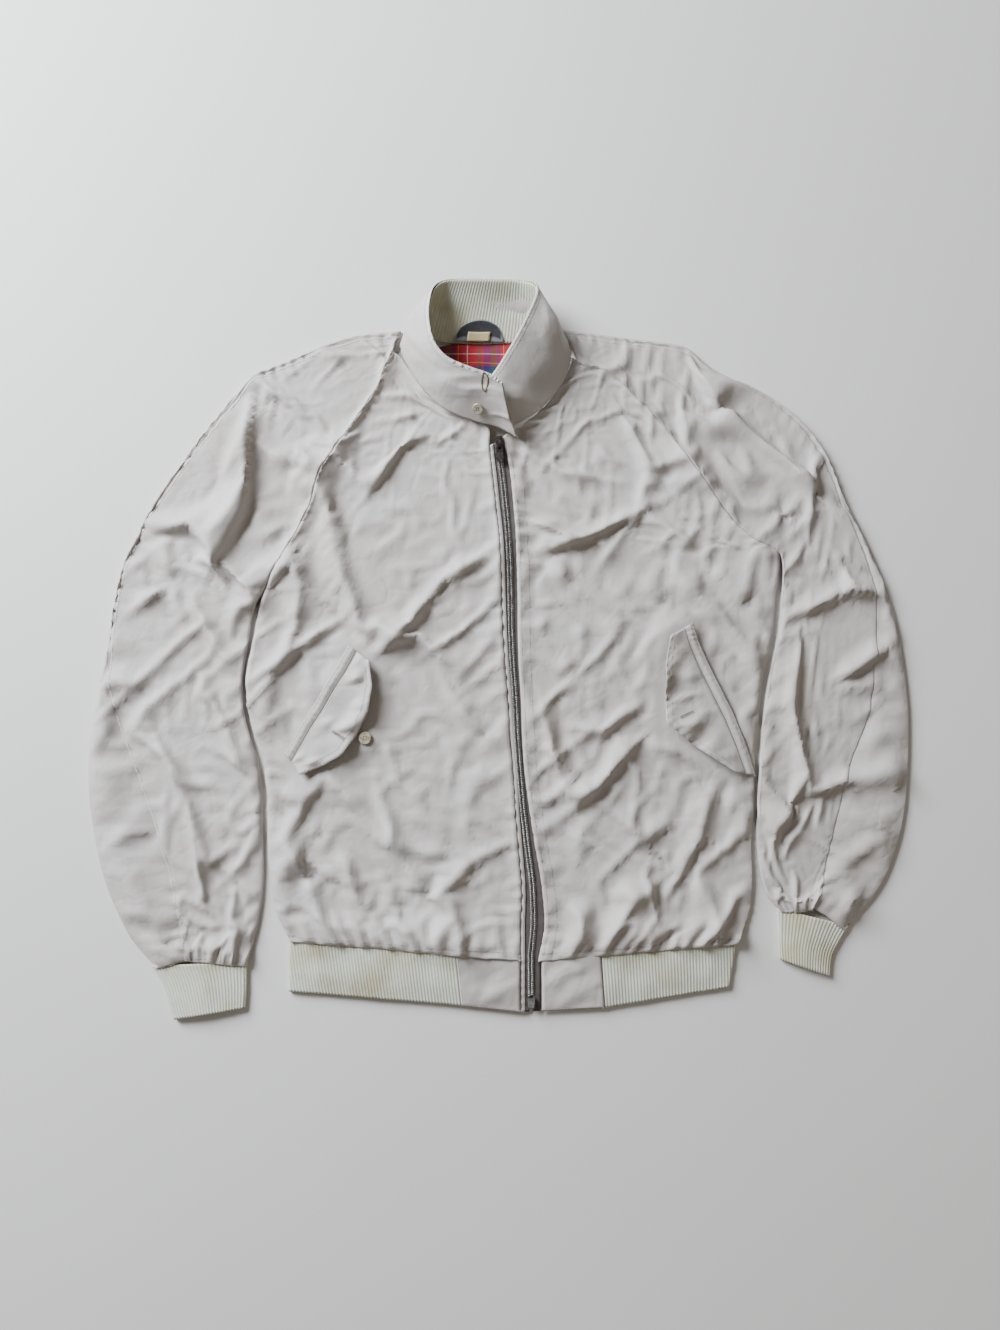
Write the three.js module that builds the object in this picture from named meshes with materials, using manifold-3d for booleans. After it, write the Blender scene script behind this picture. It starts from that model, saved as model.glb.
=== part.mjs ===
import * as THREE from 'three';
import { mergeVertices } from 'three/addons/utils/BufferGeometryUtils.js';
import Module from 'manifold-3d';

// A harrington jacket, zipped up and laid flat on its back with its collar half raised.
// Millimetres. X runs towards the wearer's left, Y from hem to collar, Z up from the surface it lies on.
// The fronts and sleeve tops are an upper layer that rests on the back and the sleeve undersides.

// ---- driving sizes -------------------------------------------------------------------------------
const CLOTH = 2.0; // shell cloth and its lining together
const GAP = 0.3; // between neighbouring pieces
const SEAM_INSET = 0.25; // each side of a seam draws back this far along its row
const LAYER = 2 * CLOTH + GAP; // height of the upper layer where it touches the lower one
const PUFF = 3.6; // how far the layers part away from their edges
const PUFF_REACH = 12; // distance over which they part
const BEND = LAYER / 2; // outer radius where a sleeve folds round to the top
const BEND_STEPS = 5;

const RIB = 2.3; // knitted rib of cuffs and hem
const CUFF_HEIGHT = 5.4; // flattened cuff at its folded edges
const CUFF_CROWN = 2.2; // extra height along its middle
const COLLAR_PLY = 1.6; // shell and rib facing of the collar, each
const COLLAR_BULGE = 4; // outward curve of the collar band between seam and rim
const LINING = 1.0;
const LABEL = 0.8;
const FACING_WIDTH = 4.4; // strip of front facing seen beside the zip
const TAPE_DROP = 1.6; // zip tape below the front edges
const TEETH_WIDTH = 3.2; // left open between the two tapes for the teeth
const WELT = 1.2;
const FLAP = 1.6;
const PATCH_LIFT = 1; // clearance of a pocket piece over the front it lies on
const PATCH_COLUMNS = 3;

const FRONT_COLUMNS = 12;
const SLEEVE_COLUMNS = 8;
const BACK_COLUMNS = 4;

// ---- tables: plan places, hem to neck or neck to cuff ---------------------------------------------
function table(columns, rows) {
  const names = columns.split(' ');
  return rows.map((row) => Object.fromEntries(names.map((name, i) => [name, row[i]])));
}

const ARMPIT_ROW = 11; // from this row up, a front's side edge is its raglan seam

const FRONT_RIGHT = table('sideX sideY midX midY', [
  [-200, -278, 21, -295],
  [-212, -255, 21, -267],
  [-218, -225, 22, -235],
  [-222, -192, 19, -197],
  [-224, -154, 16, -159],
  [-228, -119, 14, -123],
  [-237, -90, 11, -87],
  [-245, -58, 9, -53],
  [-246, -26, 6, -16],
  [-241, 6, 4, 17],
  [-236, 33, 3, 47],
  [-223, 71, 2, 85],
  [-201, 112, 0, 115],
  [-186, 143, -3, 143],
  [-176, 174, -6, 171],
  [-163, 195, -8, 188],
  [-153, 212, -9, 201],
  [-137, 237, -11, 222],
  [-121, 263, -39, 233],
  [-112, 287, -71, 254],
  [-107, 300, -96, 289],
]);

const FRONT_LEFT = table('sideX sideY midX midY', [
  [228, -281, 41, -295],
  [240, -255, 46, -266],
  [243, -225, 43, -227],
  [243, -192, 37, -192],
  [246, -154, 31, -152],
  [248, -121, 27, -119],
  [252, -87, 25, -87],
  [255, -53, 24, -53],
  [261, -22, 22, -19],
  [269, 11, 21, 16],
  [273, 45, 21, 45],
  [278, 92, 20, 85],
  [255, 104, 19, 115],
  [234, 125, 17, 140],
  [212, 154, 14, 171],
  [193, 179, 10, 194],
  [173, 210, 7, 211],
  [152, 235, 26, 223],
  [127, 262, 49, 244],
  [105, 279, 64, 266],
  [85, 285, 76, 291],
]);

// inner: raglan seam down to the armpit, then the underarm; outer: the folded outside edge of the arm;
// seam: the overarm seam, which leaves that edge and crosses the top of the forearm
const SLEEVE_RIGHT = table('innerX innerY outerX outerY seamX seamY', [
  [-107, 300, -104, 322, -105, 316],
  [-112, 287, -118, 321, -117, 315],
  [-121, 263, -143, 318, -141, 312],
  [-137, 237, -172, 310, -169, 305],
  [-153, 212, -208, 294, -205, 289],
  [-163, 195, -230, 285, -226, 280],
  [-176, 174, -252, 273, -248, 268],
  [-186, 143, -286, 231, -281, 227],
  [-201, 112, -316, 188, -311, 185],
  [-223, 71, -347, 137, -341, 135],
  [-233, 49, -359, 110, -353, 108],
  [-243, 30, -371, 83, -365, 81],
  [-245, 6, -380, 46, -374, 45],
  [-249, -26, -385, 4, -378, 4],
  [-249, -58, -391, -38, -379, -38],
  [-242, -87, -397, -77, -368, -77],
  [-233, -113, -399, -116, -354, -115],
  [-229, -145, -396, -155, -340, -152],
  [-228, -178, -389, -190, -328, -187],
  [-227, -211, -380, -223, -317, -219],
  [-228, -242, -368, -251, -310, -248],
  [-232, -270, -352, -280, -303, -274],
  [-239, -298, -332, -302, -299, -292],
]);

const SLEEVE_LEFT = table('innerX innerY outerX outerY seamX seamY', [
  [85, 285, 68, 323, 71, 317],
  [105, 279, 93, 320, 95, 314],
  [127, 262, 127, 315, 127, 309],
  [152, 235, 160, 311, 159, 305],
  [173, 210, 190, 305, 189, 299],
  [193, 179, 216, 283, 214, 277],
  [212, 154, 252, 264, 249, 259],
  [234, 125, 286, 243, 281, 238],
  [255, 104, 314, 215, 308, 211],
  [278, 92, 334, 178, 328, 175],
  [281, 65, 350, 140, 343, 137],
  [279, 37, 367, 103, 359, 100],
  [274, 4, 382, 64, 371, 60],
  [265, -34, 392, 28, 372, 24],
  [258, -73, 398, -15, 370, -18],
  [254, -110, 401, -62, 363, -66],
  [251, -145, 399, -112, 343, -114],
  [250, -178, 394, -157, 331, -157],
  [251, -202, 386, -190, 322, -188],
  [254, -224, 373, -222, 315, -214],
  [259, -240, 357, -245, 311, -233],
  [266, -249, 337, -266, 306, -243],
]);

// hem seam down to the lower edge of the ribbed hem
const HEM_BOTTOM = { rightSide: [-200, -330], rightTab: [-35, -343], rightMid: [21, -349],
  leftMid: [41, -348], leftTab: [101, -345], leftSide: [220, -326] };
const TAB_SHARE = { right: 0.72, left: 0.7 }; // where along the hem seam the cloth tabs take over from rib

const CUFF_RIGHT = table('innerX innerY outerX outerY', [
  [-239, -301, -331, -306],
  [-239, -316, -321, -321],
  [-239, -331, -314, -339],
  [-240, -345, -308, -356],
]);

const CUFF_LEFT = table('innerX innerY outerX outerY', [
  [267, -252, 336, -269],
  [267, -268, 327, -282],
  [267, -284, 319, -297],
  [268, -300, 316, -316],
]);

// the collar band from the wearer's right end round the back to the left end, seam and free rim
const COLLAR = table('seamX seamY seamZ rimX rimY rimZ', [
  [19, 207, 15, 4, 253, 37],
  [-1, 219, 12.5, -9, 261, 39],
  [-24, 226, 10.5, -28, 267, 41],
  [-54, 239, 10, -50, 277, 42],
  [-77, 262, 9.5, -63, 294, 42],
  [-93, 288, 9.5, -68, 321, 40],
  [-97, 305, 8.5, -66, 343, 36],
  [-85, 312, 6, -61, 356, 30],
  [-59, 310, 3.6, -48, 364, 25],
  [-22, 308, 3.2, -12, 365, 24],
  [17, 309, 3.2, 21, 364, 24],
  [52, 310, 5, 36, 357, 30],
  [69, 303, 8, 37, 343, 35],
  [72, 288, 9.5, 29, 321, 39],
  [64, 266, 9.5, 19, 300, 40],
  [53, 250, 9.5, 9, 283, 38],
  [40, 236, 9.5, 0, 270, 33],
  [24, 226, 9, -7, 262, 29],
]);
const BACK_NECK_RISE = 12; // the back's neck edge curves up by this much
const COLLAR_ROWS = 4; // facets between seam and rim

const NECK_LINING = table('rightX leftX y', [
  [-84, 64, 304],
  [-88, 66, 289],
  [-72, 56, 266],
  [-56, 44, 250],
  [-36, 34, 237],
  [-12, 16, 226],
]);

// flap hinge and free edge, from the high inner corner to the low outer one
const POCKET_RIGHT = table('hingeX hingeY freeX freeY', [
  [-138, -6, -125, -16],
  [-148, -25, -122, -40],
  [-159, -43, -126, -65],
  [-169, -61, -138, -89],
  [-180, -78, -151, -106],
  [-190, -96, -170, -117],
  [-200, -113, -190, -125],
]);
const POCKET_LEFT = table('hingeX hingeY freeX freeY', [
  [181, 17, 167, 9],
  [187, -1, 162, -19],
  [197, -24, 161, -48],
  [208, -47, 162, -75],
  [219, -70, 179, -90],
  [229, -95, 200, -105],
  [239, -125, 228, -123],
]);
const WELT_WIDTH = 10;
const FLAP_LIFT = 1.6; // the free edge of a flap stands off the front

// the largest folds, as soft ridges of the upper layer
const FOLDS = table('fromX fromY toX toY width rise', [
  [-257, 262, -252, 205, 14, 6],
  [-252, 205, -262, 145, 14, 6],
  [-262, 145, -282, 88, 16, 6],
  [-335, 112, -286, 66, 14, 7],
  [-286, 66, -252, 48, 14, 5],
  [-330, -55, -290, -160, 14, 5],
  [-130, 135, -78, 206, 16, 5],
  [-77, 45, -8, 85, 16, 5],
  [-230, -60, -164, -5, 14, 6],
  [-126, 25, -57, -34, 16, 5],
  [-190, -150, -100, -215, 18, 6],
  [-100, -215, -40, -285, 16, 5],
  [-199, -216, -168, -270, 14, 6],
  [-94, -206, -66, -275, 14, 5],
  [203, 296, 240, 208, 14, 6],
  [240, 208, 300, 166, 14, 7],
  [300, 166, 318, 120, 14, 5],
  [345, 60, 300, -20, 16, 5],
  [283, -53, 300, -150, 14, 5],
  [41, 115, 139, 85, 18, 5],
  [59, -168, 135, -216, 16, 6],
  [99, -53, 156, -130, 16, 5],
  [150, 5, 235, 48, 16, 5],
  [135, -240, 116, -276, 14, 5],
  [193, -206, 184, -270, 14, 6],
]);

const BUTTON = { thickness: 2, bevel: 0.5, holeRadius: 0.9, holeOffset: 1.7, lift: 0.6 };
const POCKET_BUTTON = { x: -129, y: -90, radius: 6.2 };
const COLLAR_BUTTON = { along: 1.7, up: 0.3, radius: 5.4 };

// zip slider: a plate with a bridge, and a pull whose top bar lies under the bridge
const SLIDER = { x: 1, top: 210.5, bottom: 195, topWidth: 8, bottomWidth: 6, thick: 2.6 };
const BRIDGE = { width: 1.6, low: 197, high: 208, leg: 1.2, crown: 1 };
const PULL = { axisY: 200.5, axisUp: 1.6, bar: 1.2, thick: 1.2, eyeWidth: 3.2, eyeLength: 4.4,
  neckWidth: 6.4, width: 8.4, length: 17 };
const ZIP_BOX = { x: 31, top: -335, bottom: -344, width: 7, thick: 3 };

// ---- plan geometry --------------------------------------------------------------------------------
const point = (x, y) => new THREE.Vector2(x, y);
const edge = (rows, name) => rows.map((row) => point(row[`${name}X`], row[`${name}Y`]));
const corner = ([x, y]) => point(x, y);
const between = (a, b, share) => a.clone().lerp(b, share);

function distanceToSegment(x, y, ax, ay, bx, by) {
  const dx = bx - ax;
  const dy = by - ay;
  const share = THREE.MathUtils.clamp(((x - ax) * dx + (y - ay) * dy) / (dx * dx + dy * dy), 0, 1);
  return Math.hypot(x - ax - share * dx, y - ay - share * dy);
}

// where the layers meet: arm edges, body sides and the lower edge of the hem
const hemBottom = Object.values(HEM_BOTTOM).map(corner);
const MEETING_EDGES = [
  edge(SLEEVE_RIGHT, 'outer'),
  edge(SLEEVE_LEFT, 'outer'),
  edge(SLEEVE_RIGHT, 'inner').slice(9),
  edge(SLEEVE_LEFT, 'inner').slice(9),
  [hemBottom[0], ...edge(FRONT_RIGHT, 'side').slice(0, ARMPIT_ROW + 1)],
  [hemBottom.at(-1), ...edge(FRONT_LEFT, 'side').slice(0, ARMPIT_ROW + 1)],
  hemBottom,
];

function distanceToEdges(x, y) {
  let nearest = Infinity;
  for (const line of MEETING_EDGES) {
    for (let i = 1; i < line.length; i += 1) {
      const a = line[i - 1];
      const b = line[i];
      nearest = Math.min(nearest, distanceToSegment(x, y, a.x, a.y, b.x, b.y));
    }
  }
  return nearest;
}

// height of the upper layer's outer face
function upperTop(x, y) {
  const parted = 1 - Math.exp(-distanceToEdges(x, y) / PUFF_REACH);
  let rise = PUFF;
  for (const fold of FOLDS) {
    const away = distanceToSegment(x, y, fold.fromX, fold.fromY, fold.toX, fold.toY);
    rise += fold.rise * Math.exp(-((away / fold.width) ** 2));
  }
  return LAYER + parted * rise;
}

// ---- walls ------------------------------------------------------------------------------------------
// A wall is made from two grids of points, its outer and its inner face, closed along the four rims.
function wall(outer, inner) {
  const rows = outer.length;
  const columns = outer[0].length;
  const positions = [...outer.flat(), ...inner.flat()].flatMap((p) => [p.x, p.y, p.z]);
  const at = (layer, row, column) => layer * rows * columns + row * columns + column;
  const faces = [];
  const quad = (a, b, c, d) => faces.push(a, b, c, b, d, c);
  for (let row = 0; row < rows - 1; row += 1) {
    for (let column = 0; column < columns - 1; column += 1) {
      quad(at(0, row, column), at(0, row, column + 1), at(0, row + 1, column), at(0, row + 1, column + 1));
      quad(at(1, row, column), at(1, row + 1, column), at(1, row, column + 1), at(1, row + 1, column + 1));
    }
    const last = columns - 1;
    quad(at(0, row, 0), at(0, row + 1, 0), at(1, row, 0), at(1, row + 1, 0));
    quad(at(0, row, last), at(1, row, last), at(0, row + 1, last), at(1, row + 1, last));
  }
  for (let column = 0; column < columns - 1; column += 1) {
    const last = rows - 1;
    quad(at(0, 0, column), at(1, 0, column), at(0, 0, column + 1), at(1, 0, column + 1));
    quad(at(0, last, column), at(0, last, column + 1), at(1, last, column), at(1, last, column + 1));
  }
  const geometry = new THREE.BufferGeometry();
  geometry.setAttribute('position', new THREE.Float32BufferAttribute(positions, 3));
  geometry.setIndex(faces);
  return faceOut(geometry);
}

function signedVolume(geometry) {
  const { position } = geometry.attributes;
  const { index } = geometry;
  const [a, b, c] = [new THREE.Vector3(), new THREE.Vector3(), new THREE.Vector3()];
  let total = 0;
  for (let i = 0; i < index.count; i += 3) {
    a.fromBufferAttribute(position, index.getX(i));
    b.fromBufferAttribute(position, index.getX(i + 1));
    c.fromBufferAttribute(position, index.getX(i + 2));
    total += a.dot(b.cross(c)) / 6;
  }
  return total;
}

function faceOut(geometry) {
  if (signedVolume(geometry) < 0) geometry.index.array.reverse();
  geometry.computeVertexNormals();
  return geometry;
}

const shifted = (grid, move) => grid.map((row) => row.map((p) => p.clone().add(move)));
const lowered = (grid, depth) => shifted(grid, new THREE.Vector3(0, 0, -depth));

// rows of points from one edge to another, the ends drawn back from their seams after the height is read
function ruled(startEdge, endEdge, columns, height, insets = [SEAM_INSET, SEAM_INSET]) {
  return startEdge.map((start, i) => {
    const end = endEdge[i];
    const along = end.clone().sub(start).normalize();
    const row = [];
    for (let column = 0; column <= columns; column += 1) {
      const plan = between(start, end, column / columns);
      const z = height(plan.x, plan.y);
      if (column === 0) plan.addScaledVector(along, insets[0]);
      if (column === columns) plan.addScaledVector(along, -insets[1]);
      row.push(new THREE.Vector3(plan.x, plan.y, z));
    }
    return row;
  });
}

// height of a panel's own facets under a plan place, for what lies on it
function heightOn(grid, x, y) {
  for (let i = 0; i < grid.length - 1; i += 1) {
    for (let j = 0; j < grid[0].length - 1; j += 1) {
      const [a, b, c, d] = [grid[i][j], grid[i][j + 1], grid[i + 1][j], grid[i + 1][j + 1]];
      for (const [p, q, r] of [[a, b, c], [b, d, c]]) {
        const area = (q.x - p.x) * (r.y - p.y) - (r.x - p.x) * (q.y - p.y);
        const u = ((x - p.x) * (r.y - p.y) - (r.x - p.x) * (y - p.y)) / area;
        const v = ((q.x - p.x) * (y - p.y) - (x - p.x) * (q.y - p.y)) / area;
        if (u >= 0 && v >= 0 && u + v <= 1) return p.z + u * (q.z - p.z) + v * (r.z - p.z);
      }
    }
  }
  return upperTop(x, y);
}

// ---- materials ----------------------------------------------------------------------------------------
const finish = (color, roughness, metalness = 0) => new THREE.MeshStandardMaterial({
  color, roughness, metalness });
const stoneCloth = finish(0xbfb7ab, 0.85);
const ribKnit = finish(0xb9b79f, 0.95);
const redCheck = finish(0x9c2230, 0.9);
const blackLabel = finish(0x15161c, 0.8);
const beigeTag = finish(0xc9a866, 0.8);
const greyTape = finish(0x4a423f, 0.9);
const agedMetal = finish(0x4b4540, 0.45, 0.9);
const paleMetal = finish(0xa9adae, 0.4, 0.9);
const creamButton = finish(0xd8cfb4, 0.45);

const jacket = new THREE.Group();
function add(name, geometry, material) {
  const mesh = new THREE.Mesh(geometry, material);
  mesh.name = name;
  jacket.add(mesh);
}

// ---- fronts, back and hem ---------------------------------------------------------------------------
const frontRight = ruled(edge(FRONT_RIGHT, 'side'), edge(FRONT_RIGHT, 'mid'), FRONT_COLUMNS, upperTop);
const frontLeft = ruled(edge(FRONT_LEFT, 'side'), edge(FRONT_LEFT, 'mid'), FRONT_COLUMNS, upperTop);
add('front_right', wall(frontRight, lowered(frontRight, CLOTH)), stoneCloth);
add('front_left', wall(frontLeft, lowered(frontLeft, CLOTH)), stoneCloth);

function backPanel() {
  const rows = ruled(edge(FRONT_RIGHT, 'side'), edge(FRONT_LEFT, 'side'), BACK_COLUMNS, () => 0);
  const neck = rows.at(-1);
  neck.forEach((p, column) => {
    p.y += BACK_NECK_RISE * Math.sin((Math.PI * column) / BACK_COLUMNS);
  });
  return wall(rows, lowered(rows, -CLOTH));
}
add('back_panel', backPanel(), stoneCloth);

// the ribbed hem runs from one cloth tab round the back to the other, folded at both sides
const hemSeam = {
  rightSide: edge(FRONT_RIGHT, 'side')[0],
  rightMid: edge(FRONT_RIGHT, 'mid')[0],
  leftMid: edge(FRONT_LEFT, 'mid')[0],
  leftSide: edge(FRONT_LEFT, 'side')[0],
};
hemSeam.rightTab = between(hemSeam.rightSide, hemSeam.rightMid, TAB_SHARE.right);
hemSeam.leftTab = between(hemSeam.leftSide, hemSeam.leftMid, TAB_SHARE.left);
Object.values(hemSeam).forEach((p) => { p.y -= GAP; });
const HEM_ROWS = 3;

function hemLine(name) {
  const bottom = corner(HEM_BOTTOM[name]);
  return Array.from({ length: HEM_ROWS + 1 }, (_, row) => between(hemSeam[name], bottom, row / HEM_ROWS));
}

// half of a folded edge, from the lower face round to the upper one, as outer and inner points
function foldedEdge(centre, outward, radius, thickness, steps) {
  const turns = Array.from({ length: steps + 1 }, (_, i) => -Math.PI / 2 + (Math.PI * i) / steps);
  return turns.map((angle) => {
    const flat = Math.cos(angle);
    const up = Math.sin(angle);
    const place = (r) => new THREE.Vector3(
      centre.x + outward.x * flat * r, centre.y + outward.y * flat * r, radius + up * r);
    return { outer: place(radius), inner: place(radius - thickness) };
  });
}

const upright = (plan, z, depth) => ({
  outer: new THREE.Vector3(plan.x, plan.y, z),
  inner: new THREE.Vector3(plan.x, plan.y, z - depth),
});

function wallFromSections(sections) {
  return wall(sections.map((row) => row.map((p) => p.outer)), sections.map((row) => row.map((p) => p.inner)));
}

const RIB_BEND = LAYER / 2 + 0.3; // the rib is thicker than the cloth
function hemRib() {
  const lines = Object.fromEntries(['rightSide', 'rightTab', 'leftTab', 'leftSide'].map(
    (name) => [name, hemLine(name)]));
  const topSteps = 6;
  const backSteps = 8;
  const sections = lines.rightSide.map((rightSide, row) => {
    const leftSide = lines.leftSide[row];
    const outward = rightSide.clone().sub(leftSide).normalize();
    const rightFold = rightSide.clone().addScaledVector(outward, -RIB_BEND);
    const leftFold = leftSide.clone().addScaledVector(outward, RIB_BEND);
    const top = (plan) => upright(plan, Math.max(upperTop(plan.x, plan.y), 2 * RIB_BEND), RIB);
    const section = [];
    for (let i = 0; i < topSteps; i += 1) {
      const share = i / topSteps;
      const plan = between(lines.rightTab[row], rightFold, share);
      if (i === 0) plan.x -= GAP;
      section.push(top(plan));
    }
    section.push(...foldedEdge(rightFold, outward, RIB_BEND, RIB, BEND_STEPS).reverse());
    for (let i = 1; i < backSteps; i += 1) {
      section.push(upright(between(rightFold, leftFold, i / backSteps), 0, -RIB));
    }
    section.push(...foldedEdge(leftFold, outward.clone().negate(), RIB_BEND, RIB, BEND_STEPS));
    for (let i = 1; i <= topSteps; i += 1) {
      const plan = between(leftFold, lines.leftTab[row], i / topSteps);
      if (i === topSteps) plan.x += GAP;
      section.push(top(plan));
    }
    return section;
  });
  return wallFromSections(sections);
}
add('hem_rib', hemRib(), ribKnit);

const hemTop = (x, y) => Math.max(upperTop(x, y), 2 * RIB_BEND);
const TAB_COLUMNS = 3;
const tabRight = ruled(hemLine('rightTab'), hemLine('rightMid'), TAB_COLUMNS, hemTop, [0, GAP / 2]);
const tabLeft = ruled(hemLine('leftMid'), hemLine('leftTab'), TAB_COLUMNS, hemTop, [GAP / 2, 0]);
add('hem_tab_right', wall(tabRight, lowered(tabRight, CLOTH)), stoneCloth);
add('hem_tab_left', wall(tabLeft, lowered(tabLeft, CLOTH)), stoneCloth);

// ---- sleeves and cuffs --------------------------------------------------------------------------------
const UNDER_STEPS = 4;
const STRIP_STEPS = 2;

// the back half of a sleeve: its underside, the folded outer edge and a strip on top as far as the seam
function sleeveBack(rows) {
  return wallFromSections(rows.map((row) => {
    const inner = point(row.innerX, row.innerY);
    const outer = point(row.outerX, row.outerY);
    const seam = point(row.seamX, row.seamY);
    const outward = outer.clone().sub(inner).normalize();
    const fold = outer.clone().addScaledVector(outward, -BEND);
    const start = inner.clone().addScaledVector(outward, SEAM_INSET);
    const section = [];
    for (let i = 0; i < UNDER_STEPS; i += 1) {
      section.push(upright(between(start, fold, i / UNDER_STEPS), 0, -CLOTH));
    }
    section.push(...foldedEdge(fold, outward, BEND, CLOTH, BEND_STEPS));
    const toSeam = seam.clone().sub(fold).normalize();
    for (let i = 1; i <= STRIP_STEPS; i += 1) {
      const plan = between(fold, seam, i / STRIP_STEPS);
      const z = upperTop(plan.x, plan.y);
      if (i === STRIP_STEPS) plan.addScaledVector(toSeam, -SEAM_INSET);
      section.push(upright(plan, z, CLOTH));
    }
    return section;
  }));
}

function sleeveFront(rows) {
  const top = ruled(edge(rows, 'inner'), edge(rows, 'seam'), SLEEVE_COLUMNS, upperTop);
  return wall(top, lowered(top, CLOTH));
}

// a knitted cuff: a flattened tube, slit by a hair at its seam on the underarm side
function cuff(rows) {
  const radius = CUFF_HEIGHT / 2;
  const steps = 4;
  return wallFromSections(rows.map((row) => {
    const inner = point(row.innerX, row.innerY);
    const outer = point(row.outerX, row.outerY);
    const outward = outer.clone().sub(inner).normalize();
    const outerFold = outer.clone().addScaledVector(outward, -radius);
    const innerFold = inner.clone().addScaledVector(outward, radius);
    const innerEdge = foldedEdge(innerFold, outward.clone().negate(), radius, RIB, steps);
    const half = steps / 2;
    const lift = new THREE.Vector3(0, 0, GAP / 2);
    const slit = (p, move) => ({ outer: p.outer.clone().add(move), inner: p.inner.clone().add(move) });
    const section = [slit(innerEdge[half], lift.clone().negate())];
    section.push(...innerEdge.slice(0, half).reverse());
    for (let i = 1; i < steps; i += 1) {
      section.push(upright(between(innerFold, outerFold, i / steps), 0, -RIB));
    }
    section.push(...foldedEdge(outerFold, outward, radius, RIB, steps));
    for (let i = 1; i < steps; i += 1) {
      const share = i / steps;
      const z = CUFF_HEIGHT + CUFF_CROWN * Math.sin(Math.PI * share);
      section.push(upright(between(outerFold, innerFold, share), z, RIB));
    }
    section.push(...innerEdge.slice(half + 1).reverse());
    section.push(slit(innerEdge[half], lift));
    return section;
  }));
}

for (const [side, sleeveRows, cuffRows] of [
  ['right', SLEEVE_RIGHT, CUFF_RIGHT],
  ['left', SLEEVE_LEFT, CUFF_LEFT],
]) {
  add(`sleeve_${side}_front`, sleeveFront(sleeveRows), stoneCloth);
  add(`sleeve_${side}_back`, sleeveBack(sleeveRows), stoneCloth);
  add(`cuff_${side}`, cuff(cuffRows), ribKnit);
}

// ---- collar and neck ------------------------------------------------------------------------------------
// the middle surface of the band, and the direction that faces away from the neck
function collarBand() {
  const flat = COLLAR.map((row) => {
    const seam = new THREE.Vector3(row.seamX, row.seamY, row.seamZ);
    const rim = new THREE.Vector3(row.rimX, row.rimY, row.rimZ);
    return Array.from({ length: COLLAR_ROWS + 1 }, (_, i) => seam.clone().lerp(rim, i / COLLAR_ROWS));
  });
  const last = flat.length - 1;
  const outward = flat.map((row, i) => row.map((p, j) => {
    const along = flat[Math.min(i + 1, last)][j].clone().sub(flat[Math.max(i - 1, 0)][j]);
    const up = row[Math.min(j + 1, COLLAR_ROWS)].clone().sub(row[Math.max(j - 1, 0)]);
    return up.cross(along).normalize();
  }));
  const middle = flat.map((row, i) => row.map((p, j) => p.clone().addScaledVector(
    outward[i][j], COLLAR_BULGE * Math.sin((Math.PI * j) / COLLAR_ROWS))));
  return { middle, outward };
}

const collar = collarBand();
const offBand = (distance) => collar.middle.map((row, i) => row.map(
  (p, j) => p.clone().addScaledVector(collar.outward[i][j], distance)));
const collarOutside = offBand(GAP / 2 + COLLAR_PLY);
const collarInside = offBand(-GAP / 2 - COLLAR_PLY);
add('collar_shell', wall(collarOutside, offBand(GAP / 2)), stoneCloth);
add('collar_facing', wall(collarInside, offBand(-GAP / 2)), ribKnit);

// a place on a grid of points, given in its own rows and columns, and its outward direction there
function placeOn(grid, along, up) {
  const i = Math.min(Math.floor(along), grid.length - 2);
  const j = Math.min(Math.floor(up), grid[0].length - 2);
  const low = grid[i][j].clone().lerp(grid[i + 1][j], along - i);
  const high = grid[i][j + 1].clone().lerp(grid[i + 1][j + 1], along - i);
  const across = grid[i + 1][j].clone().sub(grid[i][j]);
  const normal = high.clone().sub(low).cross(across).normalize();
  return { position: low.clone().lerp(high, up - j), normal };
}

// the half-moon label and the small tag on it follow the inside of the collar at the back
function patchOnCollar(alongRange, upRange, distance, thickness, steps, top) {
  const faces = { outer: [], inner: [] };
  for (let i = 0; i <= steps[0]; i += 1) {
    const share = i / steps[0];
    const along = THREE.MathUtils.lerp(alongRange[0], alongRange[1], share);
    const highest = THREE.MathUtils.lerp(upRange[0], upRange[1], top(share));
    const outer = [];
    const inner = [];
    for (let j = 0; j <= steps[1]; j += 1) {
      const up = THREE.MathUtils.lerp(upRange[0], highest, j / steps[1]);
      const { position, normal } = placeOn(collarInside, along, up);
      outer.push(position.clone().addScaledVector(normal, -distance - thickness));
      inner.push(position.clone().addScaledVector(normal, -distance));
    }
    faces.outer.push(outer);
    faces.inner.push(inner);
  }
  return wall(faces.outer, faces.inner);
}

const LABEL_PLACE = { along: [8.35, 9.68], up: [0.08, 1.55], offset: 0.6 };
const TAG_PLACE = { along: [8.72, 9.32], up: [0.12, 0.72] };
const halfMoon = (share) => 0.12 + 0.88 * Math.sqrt(Math.sin(Math.PI * THREE.MathUtils.clamp(share, 0, 1)));
add('neck_label', patchOnCollar(LABEL_PLACE.along, LABEL_PLACE.up, LABEL_PLACE.offset, LABEL, [8, 3],
  halfMoon), blackLabel);
add('size_tag', patchOnCollar(TAG_PLACE.along, TAG_PLACE.up, LABEL_PLACE.offset + LABEL + GAP, LABEL,
  [2, 1], () => 1), beigeTag);

const liningGrid = ruled(
  NECK_LINING.map((row) => point(row.rightX, row.y)), NECK_LINING.map((row) => point(row.leftX, row.y)),
  6, () => CLOTH + GAP + LINING, [0, 0]);
add('neck_lining', wall(liningGrid, lowered(liningGrid, LINING)), redCheck);

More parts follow.
